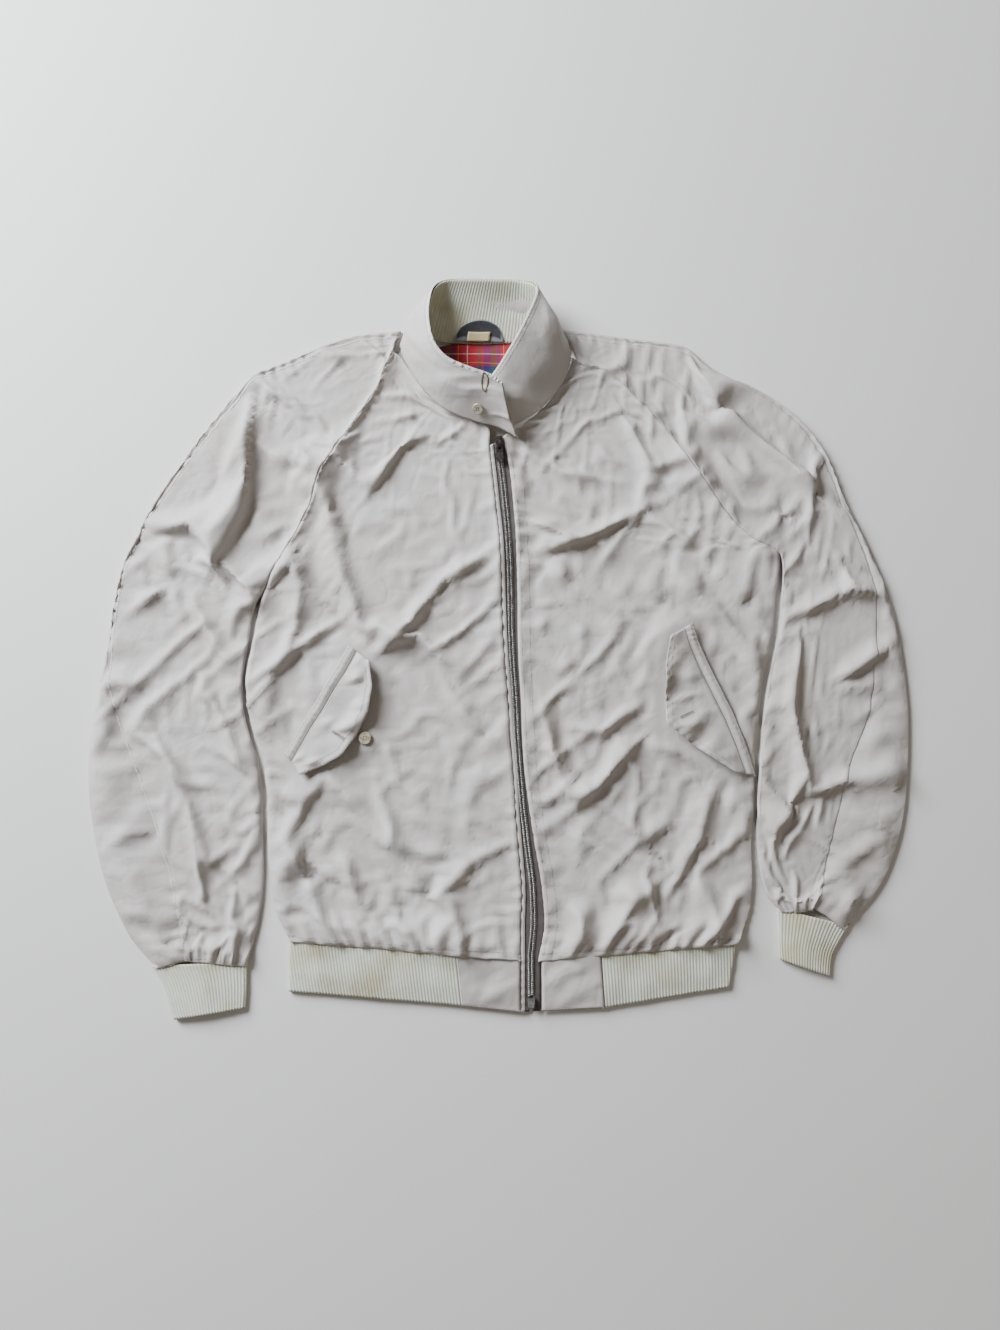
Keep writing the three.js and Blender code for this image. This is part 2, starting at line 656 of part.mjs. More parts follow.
// ---- zip ------------------------------------------------------------------------------------------------
const ZIP_ROWS = 17;
const rightEdge = [...hemLine('rightMid').slice(1).reverse(), ...edge(FRONT_RIGHT, 'mid').slice(0, ZIP_ROWS)];
const leftEdge = [...hemLine('leftMid').slice(1).reverse(), ...edge(FRONT_LEFT, 'mid').slice(0, ZIP_ROWS)];
const zipLine = rightEdge.map((p, i) => between(p, leftEdge[i], 0.5));
const towards = (from, to, distance) => from.map(
  (p, i) => p.clone().addScaledVector(to[i].clone().sub(p).normalize(), distance));
const zipTop = (x, y) => hemTop(x, y) - TAPE_DROP;

function strip(start, end, drop, thickness) {
  const top = ruled(start, end, 1, (x, y) => hemTop(x, y) - drop, [0, 0]);
  return wall(top, lowered(top, thickness));
}
const facingEnd = towards(rightEdge, leftEdge, FACING_WIDTH);
add('front_facing_right', strip(towards(rightEdge, leftEdge, GAP + SEAM_INSET), facingEnd,
  TAPE_DROP / 2, LINING), stoneCloth);
add('zip_tape_right', strip(towards(facingEnd, leftEdge, GAP), towards(zipLine, rightEdge, TEETH_WIDTH / 2),
  TAPE_DROP, LINING), greyTape);
add('zip_tape_left', strip(towards(zipLine, leftEdge, TEETH_WIDTH / 2),
  towards(leftEdge, rightEdge, GAP + SEAM_INSET), TAPE_DROP, LINING), greyTape);

const wasm = await Module();
wasm.setup();

function solid(geometry) {
  const plain = new THREE.BufferGeometry();
  plain.setAttribute('position', geometry.attributes.position);
  if (geometry.index) plain.setIndex(geometry.index);
  const merged = mergeVertices(plain);
  return new wasm.Manifold(new wasm.Mesh({
    numProp: 3,
    vertProperties: new Float32Array(merged.attributes.position.array),
    triVerts: new Uint32Array(merged.index.array),
  }));
}

function toGeometry(manifold) {
  const mesh = manifold.getMesh();
  const geometry = new THREE.BufferGeometry();
  geometry.setAttribute('position', new THREE.BufferAttribute(new Float32Array(mesh.vertProperties), 3));
  geometry.setIndex(Array.from(mesh.triVerts));
  geometry.computeVertexNormals();
  return geometry;
}

const extrude = (shape, depth) => new THREE.ExtrudeGeometry(shape, {
  depth, bevelEnabled: false, curveSegments: 6 });
const outline = (corners) => new THREE.Shape(corners.map(([x, y]) => point(x, y)));

const sliderBase = zipTop(SLIDER.x, SLIDER.bottom) + GAP + 0.5; // clear of the tape all along
const plateTop = sliderBase + SLIDER.thick;
const pullAxisZ = plateTop + PULL.axisUp;

function slider() {
  const { x, top, bottom, topWidth, bottomWidth, thick } = SLIDER;
  const plate = extrude(outline([
    [x - bottomWidth / 2, bottom], [x + bottomWidth / 2, bottom],
    [x + topWidth / 2, top - 4], [x + topWidth / 2 - 1.5, top],
    [x - topWidth / 2 + 1.5, top], [x - topWidth / 2, top - 4],
  ]), thick).translate(0, 0, sliderBase);
  const under = pullAxisZ + 1.3;
  const crown = under + BRIDGE.crown;
  const arch = outline([
    [BRIDGE.low, plateTop - 0.5], [BRIDGE.low, crown - 1], [BRIDGE.low + 1, crown],
    [BRIDGE.high - 1.5, crown], [BRIDGE.high, crown - 1.5], [BRIDGE.high, plateTop - 0.5],
    [BRIDGE.high - BRIDGE.leg, plateTop - 0.5], [BRIDGE.high - BRIDGE.leg, under - 0.5],
    [BRIDGE.high - BRIDGE.leg - 0.5, under], [BRIDGE.low + BRIDGE.leg, under],
    [BRIDGE.low + BRIDGE.leg, plateTop - 0.5],
  ]);
  const alongX = new THREE.Matrix4().makeBasis(
    new THREE.Vector3(0, 1, 0), new THREE.Vector3(0, 0, 1), new THREE.Vector3(1, 0, 0));
  const bridge = extrude(arch, BRIDGE.width).applyMatrix4(alongX).translate(x - BRIDGE.width / 2, 0, 0);
  return toGeometry(solid(plate).add(solid(bridge)));
}
add('zip_slider', slider(), agedMetal);

function pull() {
  const top = PULL.bar / 2;
  const shape = outline([
    [-PULL.neckWidth / 2, top], [-PULL.neckWidth / 2, -PULL.eyeLength - 2],
    [-PULL.width / 2, -PULL.length + 3], [-PULL.width / 2 + 2, -PULL.length],
    [PULL.width / 2 - 2, -PULL.length], [PULL.width / 2, -PULL.length + 3],
    [PULL.neckWidth / 2, -PULL.eyeLength - 2], [PULL.neckWidth / 2, top],
  ]);
  shape.holes.push(new THREE.Path([
    point(-PULL.eyeWidth / 2, -top), point(-PULL.eyeWidth / 2, -top - PULL.eyeLength),
    point(PULL.eyeWidth / 2, -top - PULL.eyeLength), point(PULL.eyeWidth / 2, -top),
  ]));
  return extrude(shape, PULL.thick).translate(SLIDER.x, PULL.axisY, pullAxisZ - PULL.thick / 2);
}
add('zip_pull', pull(), agedMetal);

function zipBox() {
  const { x, top, bottom, width, thick } = ZIP_BOX;
  const shape = outline([
    [x - width / 2 + 0.6, bottom], [x + width / 2 - 0.6, bottom],
    [x + width / 2, top], [x - width / 2, top],
  ]);
  return extrude(shape, thick).translate(0, 0, zipTop(x, top) + GAP + 0.3);
}
add('zip_box', zipBox(), paleMetal);

// ---- pockets and buttons ----------------------------------------------------------------------------------
function pocketPiece(panel, start, end, columns, lift, thickness, freeLift) {
  const top = ruled(start, end, columns, () => 0, [0, 0]);
  top.forEach((row) => row.forEach((p, column) => {
    p.z = heightOn(panel, p.x, p.y) + lift + thickness + freeLift * (column / columns);
  }));
  return top;
}

// every stretch of a line cut in two, so that a piece follows the facets below it
const halved = (line) => line.flatMap((p, i) => (i ? [between(line[i - 1], p, 0.5), p] : [p]));

const flaps = {};
for (const [side, rows, panel] of [
  ['right', POCKET_RIGHT, frontRight],
  ['left', POCKET_LEFT, frontLeft],
]) {
  const hinge = halved(edge(rows, 'hinge'));
  const free = halved(edge(rows, 'free'));
  const weltEdge = towards(hinge, free, -WELT_WIDTH);
  const welt = pocketPiece(panel, weltEdge, towards(hinge, free, -GAP), 1, PATCH_LIFT, WELT, 0);
  flaps[side] = pocketPiece(panel, hinge, free, PATCH_COLUMNS, PATCH_LIFT, FLAP, FLAP_LIFT);
  add(`pocket_welt_${side}`, wall(welt, lowered(welt, WELT)), stoneCloth);
  add(`pocket_flap_${side}`, wall(flaps[side], lowered(flaps[side], FLAP)), stoneCloth);
}

// a four-hole button, its back on z = 0
function button(radius) {
  const face = new THREE.Shape().absarc(0, 0, radius - BUTTON.bevel, 0, 2 * Math.PI);
  for (let i = 0; i < 4; i += 1) {
    const angle = Math.PI / 4 + (i * Math.PI) / 2;
    face.holes.push(new THREE.Path().absarc(BUTTON.holeOffset * Math.cos(angle),
      BUTTON.holeOffset * Math.sin(angle), BUTTON.holeRadius, 0, 2 * Math.PI));
  }
  return new THREE.ExtrudeGeometry(face, {
    depth: BUTTON.thickness - 2 * BUTTON.bevel, bevelSize: BUTTON.bevel, bevelThickness: BUTTON.bevel,
    bevelSegments: 1, curveSegments: 10,
  }).translate(0, 0, BUTTON.bevel);
}

function facing(direction) {
  return new THREE.Matrix4().makeRotationFromQuaternion(
    new THREE.Quaternion().setFromUnitVectors(new THREE.Vector3(0, 0, 1), direction));
}

const pocketButtonZ = heightOn(frontRight, POCKET_BUTTON.x, POCKET_BUTTON.y) + 2 * BUTTON.lift;
add('pocket_button', button(POCKET_BUTTON.radius).translate(POCKET_BUTTON.x, POCKET_BUTTON.y,
  pocketButtonZ), creamButton);

const collarSpot = placeOn(collarOutside, COLLAR_BUTTON.along, COLLAR_BUTTON.up * COLLAR_ROWS);
const collarPlace = collarSpot.position.addScaledVector(collarSpot.normal, BUTTON.lift + 0.4);
add('collar_button', button(COLLAR_BUTTON.radius).applyMatrix4(facing(collarSpot.normal)).translate(
  collarPlace.x, collarPlace.y, collarPlace.z), creamButton);

// ---- origin: the middle of the jacket's outline, on the surface it lies on -----------------------------------
const extent = new THREE.Box3().setFromObject(jacket);
const middle = extent.getCenter(new THREE.Vector3());
jacket.position.set(-middle.x, -middle.y, 0);
jacket.updateMatrixWorld(true);

export default jacket;
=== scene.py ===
"""A harrington jacket laid flat on its back: cloth, knit, stitching and zip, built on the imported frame.

Places and heights in the tables are millimetres; everything handed to Blender is in metres.
X runs to the wearer's left, Y from hem to collar and Z up from the floor.
"""
import math
from collections import namedtuple

import bpy
import numpy as np
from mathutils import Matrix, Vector
from mathutils.bvhtree import BVHTree


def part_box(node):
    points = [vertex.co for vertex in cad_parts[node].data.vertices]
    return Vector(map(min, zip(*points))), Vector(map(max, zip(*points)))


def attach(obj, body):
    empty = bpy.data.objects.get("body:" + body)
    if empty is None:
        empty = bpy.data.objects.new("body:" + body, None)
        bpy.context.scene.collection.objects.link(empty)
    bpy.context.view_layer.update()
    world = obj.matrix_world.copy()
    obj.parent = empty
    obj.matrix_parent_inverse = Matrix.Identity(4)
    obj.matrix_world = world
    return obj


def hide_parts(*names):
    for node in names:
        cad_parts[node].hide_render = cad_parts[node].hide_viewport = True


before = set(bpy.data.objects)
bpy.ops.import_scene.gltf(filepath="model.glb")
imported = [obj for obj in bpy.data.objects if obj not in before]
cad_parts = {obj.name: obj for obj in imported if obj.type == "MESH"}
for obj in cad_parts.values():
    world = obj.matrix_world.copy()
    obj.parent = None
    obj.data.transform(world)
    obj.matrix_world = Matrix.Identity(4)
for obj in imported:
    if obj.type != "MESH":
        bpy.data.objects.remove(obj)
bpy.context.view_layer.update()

MM = 0.001
SCENE = bpy.context.scene


# ---- camera, lights and floor ----
CAMERA_PLACE = (0.0005, -0.1018, 0.883)
CAMERA_LEAN = math.radians(5.1)  # from straight down, towards the collar
LENS_LENGTH = 24.36

camera_data = bpy.data.cameras.new("camera")
camera_data.lens = LENS_LENGTH
camera = bpy.data.objects.new("camera", camera_data)
camera.location = CAMERA_PLACE
camera.rotation_euler = (CAMERA_LEAN, 0, 0)
SCENE.collection.objects.link(camera)
SCENE.camera = camera


def area_light(name, place, size, power, colour):
    data = bpy.data.lights.new(name, "AREA")
    data.size = size
    data.energy = power
    data.color = colour
    lamp = bpy.data.objects.new(name, data)
    lamp.location = place
    lamp.rotation_euler = Vector(place).to_track_quat("Z", "Y").to_euler()
    SCENE.collection.objects.link(lamp)


area_light("window", (-1.6, 1.35, 1.1), 1.25, 200, (0.88, 0.93, 1.0))
area_light("room", (1.5, -1.3, 1.7), 2.2, 6, (1.0, 0.9, 0.78))

world = bpy.data.worlds.new("world")
world.use_nodes = True
world.node_tree.nodes["Background"].inputs["Color"].default_value = (1.0, 0.93, 0.85, 1)
world.node_tree.nodes["Background"].inputs["Strength"].default_value = 0.17
SCENE.world = world


# ---- materials ----
class Nodes:
    """A short way to write a material's node tree."""

    def __init__(self, name, colour, roughness, **sockets):
        self.material = bpy.data.materials.new(name)
        self.material.use_nodes = True
        self.tree = self.material.node_tree
        self.shader = self.tree.nodes["Principled BSDF"]
        self.set(self.shader, "Base Color", (*colour, 1))
        self.set(self.shader, "Roughness", roughness)
        for socket, value in sockets.items():
            self.set(self.shader, socket.replace("_", " "), value)

    def set(self, node, socket, value):
        if isinstance(value, bpy.types.NodeSocket):
            self.tree.links.new(value, node.inputs[socket])
        else:
            node.inputs[socket].default_value = value

    def add(self, kind, inputs=(), **settings):
        node = self.tree.nodes.new("ShaderNode" + kind)
        for key, value in settings.items():
            setattr(node, key, value)
        for socket, value in dict(inputs).items():
            self.set(node, socket, value)
        return node

    def math(self, operation, first, second=0.0):
        return self.add("Math", {0: first, 1: second}, operation=operation).outputs[0]

    def mix(self, share, first, second):
        node = self.add("Mix", data_type="RGBA")
        for socket, value in ((0, share), (6, first), (7, second)):
            self.set(node, socket, value if not isinstance(value, tuple) else (*value, 1))
        return node.outputs[2]

    def ramp(self, value, low, high, start=0.0, end=1.0):
        node = self.add("MapRange", {0: value, 1: low, 2: high, 3: start, 4: end})
        return node.outputs[0]

    def place(self, scale=(1, 1, 1), turn=0.0, kind="Object"):
        coordinates = self.add("TexCoord").outputs[kind]
        inputs = {"Vector": coordinates, "Rotation": (0, 0, turn), "Scale": scale}
        return self.add("Mapping", inputs).outputs[0]

    def noise(self, scale, detail=2.0, where=None, **more):
        inputs = {"Vector": where or self.place(), "Scale": scale, "Detail": detail}
        inputs.update({key.title(): value for key, value in more.items()})
        return self.add("TexNoise", inputs).outputs["Fac"]

    def wave(self, period, where, direction="X"):
        scale = 2 * math.pi / (20 * period)
        node = self.add("TexWave", {"Vector": where, "Scale": scale}, bands_direction=direction)
        return node.outputs["Fac"]

    def bump(self, height, distance, strength=1.0, under=None):
        node = self.add("Bump", {"Height": height, "Distance": distance, "Strength": strength})
        if under is not None:
            self.set(node, "Normal", under)
        return node.outputs[0]

    def paint(self, colour):
        self.set(self.shader, "Base Color", colour)

    def finish(self, normal=None):
        if normal is not None:
            self.set(self.shader, "Normal", normal)
        return self.material


THREAD_PITCH = 0.45 * MM  # of the shell's plain weave


def cloth_material():
    """Stone poplin: fine weave, small crush marks, faint yellowing and a little sheen."""
    m = Nodes("shell_cloth", (0.6, 0.57, 0.53), 0.62, Sheen_Weight=0.12, Sheen_Roughness=0.4,
              Specular_IOR_Level=0.42)
    tone = m.mix(m.ramp(m.noise(9, 3), 0.35, 0.7), (0.53, 0.495, 0.465), (0.47, 0.43, 0.395))
    stain = m.ramp(m.noise(5.3, 2, roughness=0.7), 0.58, 0.75)
    tone = m.mix(m.math("MULTIPLY", stain, 0.25), tone, (0.5, 0.44, 0.34))
    fleck = m.ramp(m.noise(900, 1), 0.3, 0.7, 0.0, 0.12)
    m.paint(m.mix(fleck, tone, (0.4, 0.37, 0.34)))
    m.set(m.shader, "Roughness", m.ramp(m.noise(60), 0.3, 0.7, 0.55, 0.7))
    where = m.place()
    weave = m.math("ADD", m.wave(THREAD_PITCH, where), m.wave(THREAD_PITCH, where, "Y"))
    crush = m.add("TexVoronoi", {"Vector": m.place((1, 1, 0.3)), "Scale": 46, "Randomness": 1.0},
                  feature="DISTANCE_TO_EDGE").outputs["Distance"]
    crush = m.math("MULTIPLY", m.math("MINIMUM", crush, 0.16), m.ramp(m.noise(14), 0.4, 0.62))
    ripple = m.noise(70, 3, distortion=0.6)
    normal = m.bump(weave, 0.04 * MM, 0.5)
    normal = m.bump(crush, 4 * MM, 0.35, normal)
    return m.finish(m.bump(ripple, 1.3 * MM, 0.5, normal))


def rib_material():
    """Pale greenish-cream knit, yellowed in places; its ribs are real, its stitches are bump and a painted
    shade in rows along them.
    """
    m = Nodes("rib_knit", (0.6, 0.6, 0.47), 0.85, Sheen_Weight=0.25, Sheen_Roughness=0.5,
              Specular_IOR_Level=0.25)
    patch = m.ramp(m.noise(22, 3, roughness=0.6), 0.42, 0.68)
    tone = m.mix(patch, (0.63, 0.65, 0.54), (0.5, 0.46, 0.3))
    stitch_bump_and_shade = m.wave(1.1 * MM, m.place(kind="UV"), "Y")
    # the stitch wave also darkens the colour a little: painted shade along the stitch rows
    m.paint(m.mix(m.math("MULTIPLY", stitch_bump_and_shade, 0.25), tone, (0.34, 0.33, 0.25)))
    fuzz = m.bump(m.noise(1600, 2), 0.12 * MM, 0.5)
    return m.finish(m.bump(stitch_bump_and_shade, 0.12 * MM, 0.6, fuzz))


TARTAN_REPEAT = 46 * MM
# the generic tartan's bands: where each starts in the repeat, from 0 to 1, and its colour
TARTAN_RED, TARTAN_GREEN, TARTAN_NAVY = (0.42, 0.012, 0.025), (0.012, 0.085, 0.05), (0.03, 0.02, 0.17)
TARTAN_WHITE, TARTAN_GOLD = (0.72, 0.66, 0.62), (0.6, 0.42, 0.08)
TARTAN_BANDS = (
    (0.0, TARTAN_RED), (0.14, TARTAN_GREEN), (0.22, TARTAN_RED), (0.27, TARTAN_NAVY), (0.42, TARTAN_GREEN),
    (0.56, TARTAN_NAVY), (0.64, TARTAN_RED), (0.7, TARTAN_GOLD), (0.715, TARTAN_RED), (0.9, TARTAN_WHITE),
    (0.925, TARTAN_RED),
)


def check_material():
    """A generic red tartan in brushed cotton twill."""
    m = Nodes("check_lining", (0.4, 0.02, 0.03), 0.9, Sheen_Weight=0.2)
    axes = m.add("SeparateXYZ", {0: m.place()})

    def bands(along, start):
        share = m.math("FRACT", m.math("ADD", m.math("DIVIDE", along, TARTAN_REPEAT), start))
        node = m.add("ValToRGB", {"Fac": share})
        node.color_ramp.interpolation = "CONSTANT"
        for i, (place, colour) in enumerate(TARTAN_BANDS):
            stop = node.color_ramp.elements[0] if i == 0 else node.color_ramp.elements.new(place)
            stop.position = place
            stop.color = (*colour, 1)
        node.color_ramp.elements[-1].position = 1.0
        node.color_ramp.elements[-1].color = (*TARTAN_BANDS[0][1], 1)
        return node.outputs[0]

    twill = m.wave(1.0 * MM, m.place(turn=math.pi / 4))
    woven = m.ramp(twill, 0.35, 0.65, 0.2, 0.8)
    m.paint(m.mix(woven, bands(axes.outputs[0], 0.62), bands(axes.outputs[1], 0.55)))
    return m.finish(m.bump(twill, 0.12 * MM, 0.6, m.bump(m.noise(700), 0.1 * MM)))


def satin_material(name, colour, edge, roughness):
    """Woven label satin, with a painted highlight along its edges: the mesh's rim values mix in a lighter
    colour.
    """
    m = Nodes(name, colour, roughness, Sheen_Weight=0.1)
    # the rim values paint a highlight in the lighter edge colour
    rim = m.add("Attribute", attribute_name="rim").outputs["Fac"]
    m.paint(m.mix(rim, m.mix(m.ramp(m.noise(300), 0.3, 0.7, 0, 0.04), colour, edge), edge))
    threads = m.wave(0.35 * MM, m.place(kind="UV"))
    return m.finish(m.bump(threads, 0.05 * MM, 0.6))


def tape_material():
    m = Nodes("zip_tape", (0.06, 0.05, 0.045), 0.9, Sheen_Weight=0.1)
    tone = m.mix(m.noise(120, 3), (0.045, 0.038, 0.035), (0.12, 0.1, 0.09))
    m.paint(tone)
    return m.finish(m.bump(m.wave(0.6 * MM, m.place(kind="UV")), 0.12 * MM, 0.8))


def metal_material(name, dark, light, roughness):
    """Old zip metal: brighter where it rubs, dull and dark elsewhere."""
    m = Nodes(name, light, roughness, Metallic=1.0)
    worn = m.ramp(m.noise(420, 4, roughness=0.7), 0.38, 0.62)
    m.paint(m.mix(worn, dark, light))
    m.set(m.shader, "Roughness", m.ramp(m.noise(300), 0.3, 0.7, roughness - 0.1, roughness + 0.15))
    return m.finish(m.bump(m.noise(900, 3), 0.06 * MM, 0.5))


def button_material():
    """Horn-look plastic, clouded in cream and olive brown."""
    m = Nodes("button", (0.4, 0.36, 0.25), 0.32, Coat_Weight=0.2, Subsurface_Weight=0.08,
              Subsurface_Scale=1.0 * MM)
    cloud = m.ramp(m.noise(170, 4, distortion=1.2), 0.35, 0.68)
    m.paint(m.mix(cloud, (0.52, 0.48, 0.36), (0.26, 0.21, 0.12)))
    return m.finish(m.bump(m.noise(800), 0.02 * MM))


def thread_material(name, light, dark):
    m = Nodes(name, light, 0.7, Sheen_Weight=0.1)
    m.paint(m.mix(m.noise(500), light, dark))
    return m.finish(m.bump(m.wave(0.3 * MM, m.place(turn=0.6)), 0.05 * MM))


def floor_material():
    m = Nodes("floor", (0.72, 0.7, 0.67), 0.7)
    m.paint(m.mix(m.noise(3, 4), (0.7, 0.68, 0.65), (0.75, 0.73, 0.7)))
    return m.finish(m.bump(m.noise(260, 3), 0.1 * MM, 0.4))


CLOTH = cloth_material()
KNIT = rib_material()
CHECK = check_material()
# each label's second colour is its painted edge highlight
LABEL = satin_material("label", (0.012, 0.012, 0.016), (0.3, 0.31, 0.34), 0.5)
TAG = satin_material("tag", (0.5, 0.4, 0.2), (0.6, 0.5, 0.28), 0.6)
TAPE = tape_material()
DARK_METAL = metal_material("zip_metal", (0.035, 0.03, 0.028), (0.14, 0.12, 0.11), 0.42)
TEETH_METAL = metal_material("zip_teeth", (0.3, 0.28, 0.27), (0.62, 0.6, 0.58), 0.38)
PALE_METAL = metal_material("box_metal", (0.42, 0.45, 0.45), (0.72, 0.75, 0.75), 0.3)
HORN = button_material()
THREAD = thread_material("stone_thread", (0.44, 0.41, 0.38), (0.32, 0.29, 0.27))
DARK_THREAD = thread_material("dark_thread", (0.2, 0.18, 0.18), (0.1, 0.09, 0.09))
RIM_THREAD = thread_material("rim_thread", (0.85, 0.85, 0.8), (0.72, 0.72, 0.66))
LOOP_THREAD = thread_material("loop_thread", (0.2, 0.16, 0.08), (0.1, 0.08, 0.04))

FLOOR_HALF = 3
floor_corners = [(FLOOR_HALF * x, FLOOR_HALF * y, 0) for x, y in ((-1, -1), (1, -1), (1, 1), (-1, 1))]
floor_mesh = bpy.data.meshes.new("floor")
floor_mesh.from_pydata(floor_corners, [], [(0, 1, 2, 3)])
floor_mesh.materials.append(floor_material())
floor = bpy.data.objects.new("floor", floor_mesh)
SCENE.collection.objects.link(floor)


# ---- grids of points from the frame ----
SAME_LENGTH = 4e-6  # an edge this close to a wall's thickness goes across it


def wall_faces(node, thickness):
    """A packed wall's points, and the triangles of its two faces: its rims all have an edge across it."""
    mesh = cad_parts[node].data
    mesh.calc_loop_triangles()
    places = np.array([v.co[:] for v in mesh.vertices])
    points, joined = np.unique(np.round(places, 6), axis=0, return_inverse=True)
    tris = joined.reshape(-1)[np.array([t.vertices[:] for t in mesh.loop_triangles])]
    sides = np.stack([np.linalg.norm(points[tris[:, i]] - points[tris[:, i - 1]], axis=1) for i in range(3)])
    tris = tris[(np.abs(sides - thickness) > SAME_LENGTH).all(axis=0)]
    face = np.arange(len(points))
    changed = True
    while changed:
        before = face.copy()
        lowest = face[tris].min(axis=1)
        for i in range(3):
            np.minimum.at(face, tris[:, i], lowest)
        changed = (before != face).any()
    label = face[tris[:, 0]]
    return points, [tris[label == k] for k in np.unique(label)]


def walked_grid(points, tris):
    """Rows and columns of one face, walked from a corner."""
    owners = {}
    for t, tri in enumerate(tris):
        for i in range(3):
            owners.setdefault(frozenset((tri[i], tri[(i + 1) % 3])), []).append(t)
    rim = {}
    for pair, users in owners.items():
        if len(users) == 1:
            p, q = tuple(pair)
            rim.setdefault(p, []).append(q)
            rim.setdefault(q, []).append(p)
    uses = np.bincount(tris.ravel(), minlength=len(points))
    start = min(p for p in rim if uses[p] == 1)

    def side(second):
        line = [start, second]
        while uses[line[-1]] > 2:
            line.append(next(q for q in rim[line[-1]] if q != line[-2]))
        return line

    first_side, second_side = sorted(rim[start])
    rows = [side(first_side)]
    for first in side(second_side)[1:]:
        row = [first]
        for known, skipped in zip(rows[-1][1:], rows[-1]):
            for t in owners[frozenset((known, row[-1]))]:
                third = next(v for v in tris[t] if v not in (known, row[-1]))
                if third != skipped:
                    row.append(third)
                    break
        rows.append(row)
    return points[np.array(rows)]


def face_grid(node, thickness, columns, pick, row_key, column_key):
    """The face of a wall that `pick` rates highest; `row_key` and `column_key` rise along it."""
    points, faces = wall_faces(node, thickness * MM)
    grids = [walked_grid(points, tris) for tris in faces]
    grids = [grid if grid.shape[1] == columns else grid.transpose(1, 0, 2) for grid in grids]
    grid = max(grids, key=pick)
    if row_key(grid[0]) > row_key(grid[-1]):
        grid = grid[::-1]
    if column_key(grid[:, 0]) > column_key(grid[:, -1]):
        grid = grid[:, ::-1]
    return grid


def mean_of(axis, sign=1):
    """Rates lines and grids by their mean place along an axis, or the other way along it if sign is -1."""
    return lambda points: sign * points[..., axis].mean()


mean_x, mean_y, mean_z = (mean_of(axis) for axis in range(3))


def height_spread(grid):
    return np.ptp(grid[..., 2])


def smooth_along(line, steps):
    """A smooth curve through the entries of an array; `steps` is a number, or one for each stretch."""
    if isinstance(steps, int):
        steps = [steps] * (len(line) - 1)
    padded = np.concatenate([2 * line[:1] - line[1:2], line, 2 * line[-1:] - line[-2:-1]])
    out = []
    for i, count in enumerate(steps):
        before, start, end, after = padded[i:i + 4]
        for s in np.arange(count) / count:
            leave = s ** 3 - 2 * s ** 2 + s
            arrive = s ** 3 - s ** 2
            turn = 3 * s ** 2 - 2 * s ** 3
            out.append((1 - turn) * start + turn * end
                       + 0.45 * (leave * (end - before) + arrive * (after - start)))
    return np.array(out + [line[-1]])


def refined(grid, row_steps, column_steps):
    """The grid with smooth steps put in between its rows and columns."""
    across = smooth_along(grid.transpose(1, 0, 2), column_steps).transpose(1, 0, 2)
    return smooth_along(across, row_steps)


def lengths_along(grid, axis):
    """Arc length from the first row or column to every point."""
    step = np.linalg.norm(np.diff(grid, axis=axis), axis=2)
    total = np.cumsum(step, axis=axis)
    return np.insert(total, 0, 0.0, axis=axis)


def measured(grid):
    """How far along and across a grid every point is, in mm."""
    return lengths_along(grid, 0) / MM, lengths_along(grid, 1) / MM


def plan(grid):
    """The X and Y of every point, in mm."""
    return grid[..., 0] / MM, grid[..., 1] / MM


def unit(ways):
    return ways / np.maximum(np.linalg.norm(ways, axis=-1, keepdims=True), 1e-12)


def level_way(start, end):
    """Level directions from the points of one line to those of another."""
    way = end - start
    way[:, 2] = 0
    return unit(way)


def normals(grid):
    return unit(np.cross(np.gradient(grid, axis=1), np.gradient(grid, axis=0)))


def evenly(grid, columns):
    """Every row again with evenly spaced points."""
    travelled = lengths_along(grid, 1)
    out = np.empty((len(grid), columns, 3))
    for row, (points, reach) in enumerate(zip(grid, travelled)):
        places = np.linspace(0, reach[-1], columns)
        for axis in range(3):
            out[row, :, axis] = np.interp(places, reach, points[:, axis])
    return out


def cut_size(grid):
    """Width, length and area of the flat cloth that a grid stands for."""
    length = lengths_along(grid, 0)[-1].max()
    width = lengths_along(grid, 1)[:, -1].max()
    a, b = grid[1:, 1:] - grid[:-1, :-1], grid[1:, :-1] - grid[:-1, 1:]
    area = 0.5 * np.linalg.norm(np.cross(a, b), axis=2).sum()
    return width, length, area


# ---- creases, gathers and noise ----
Crease = namedtuple("Crease", "path rise left right")
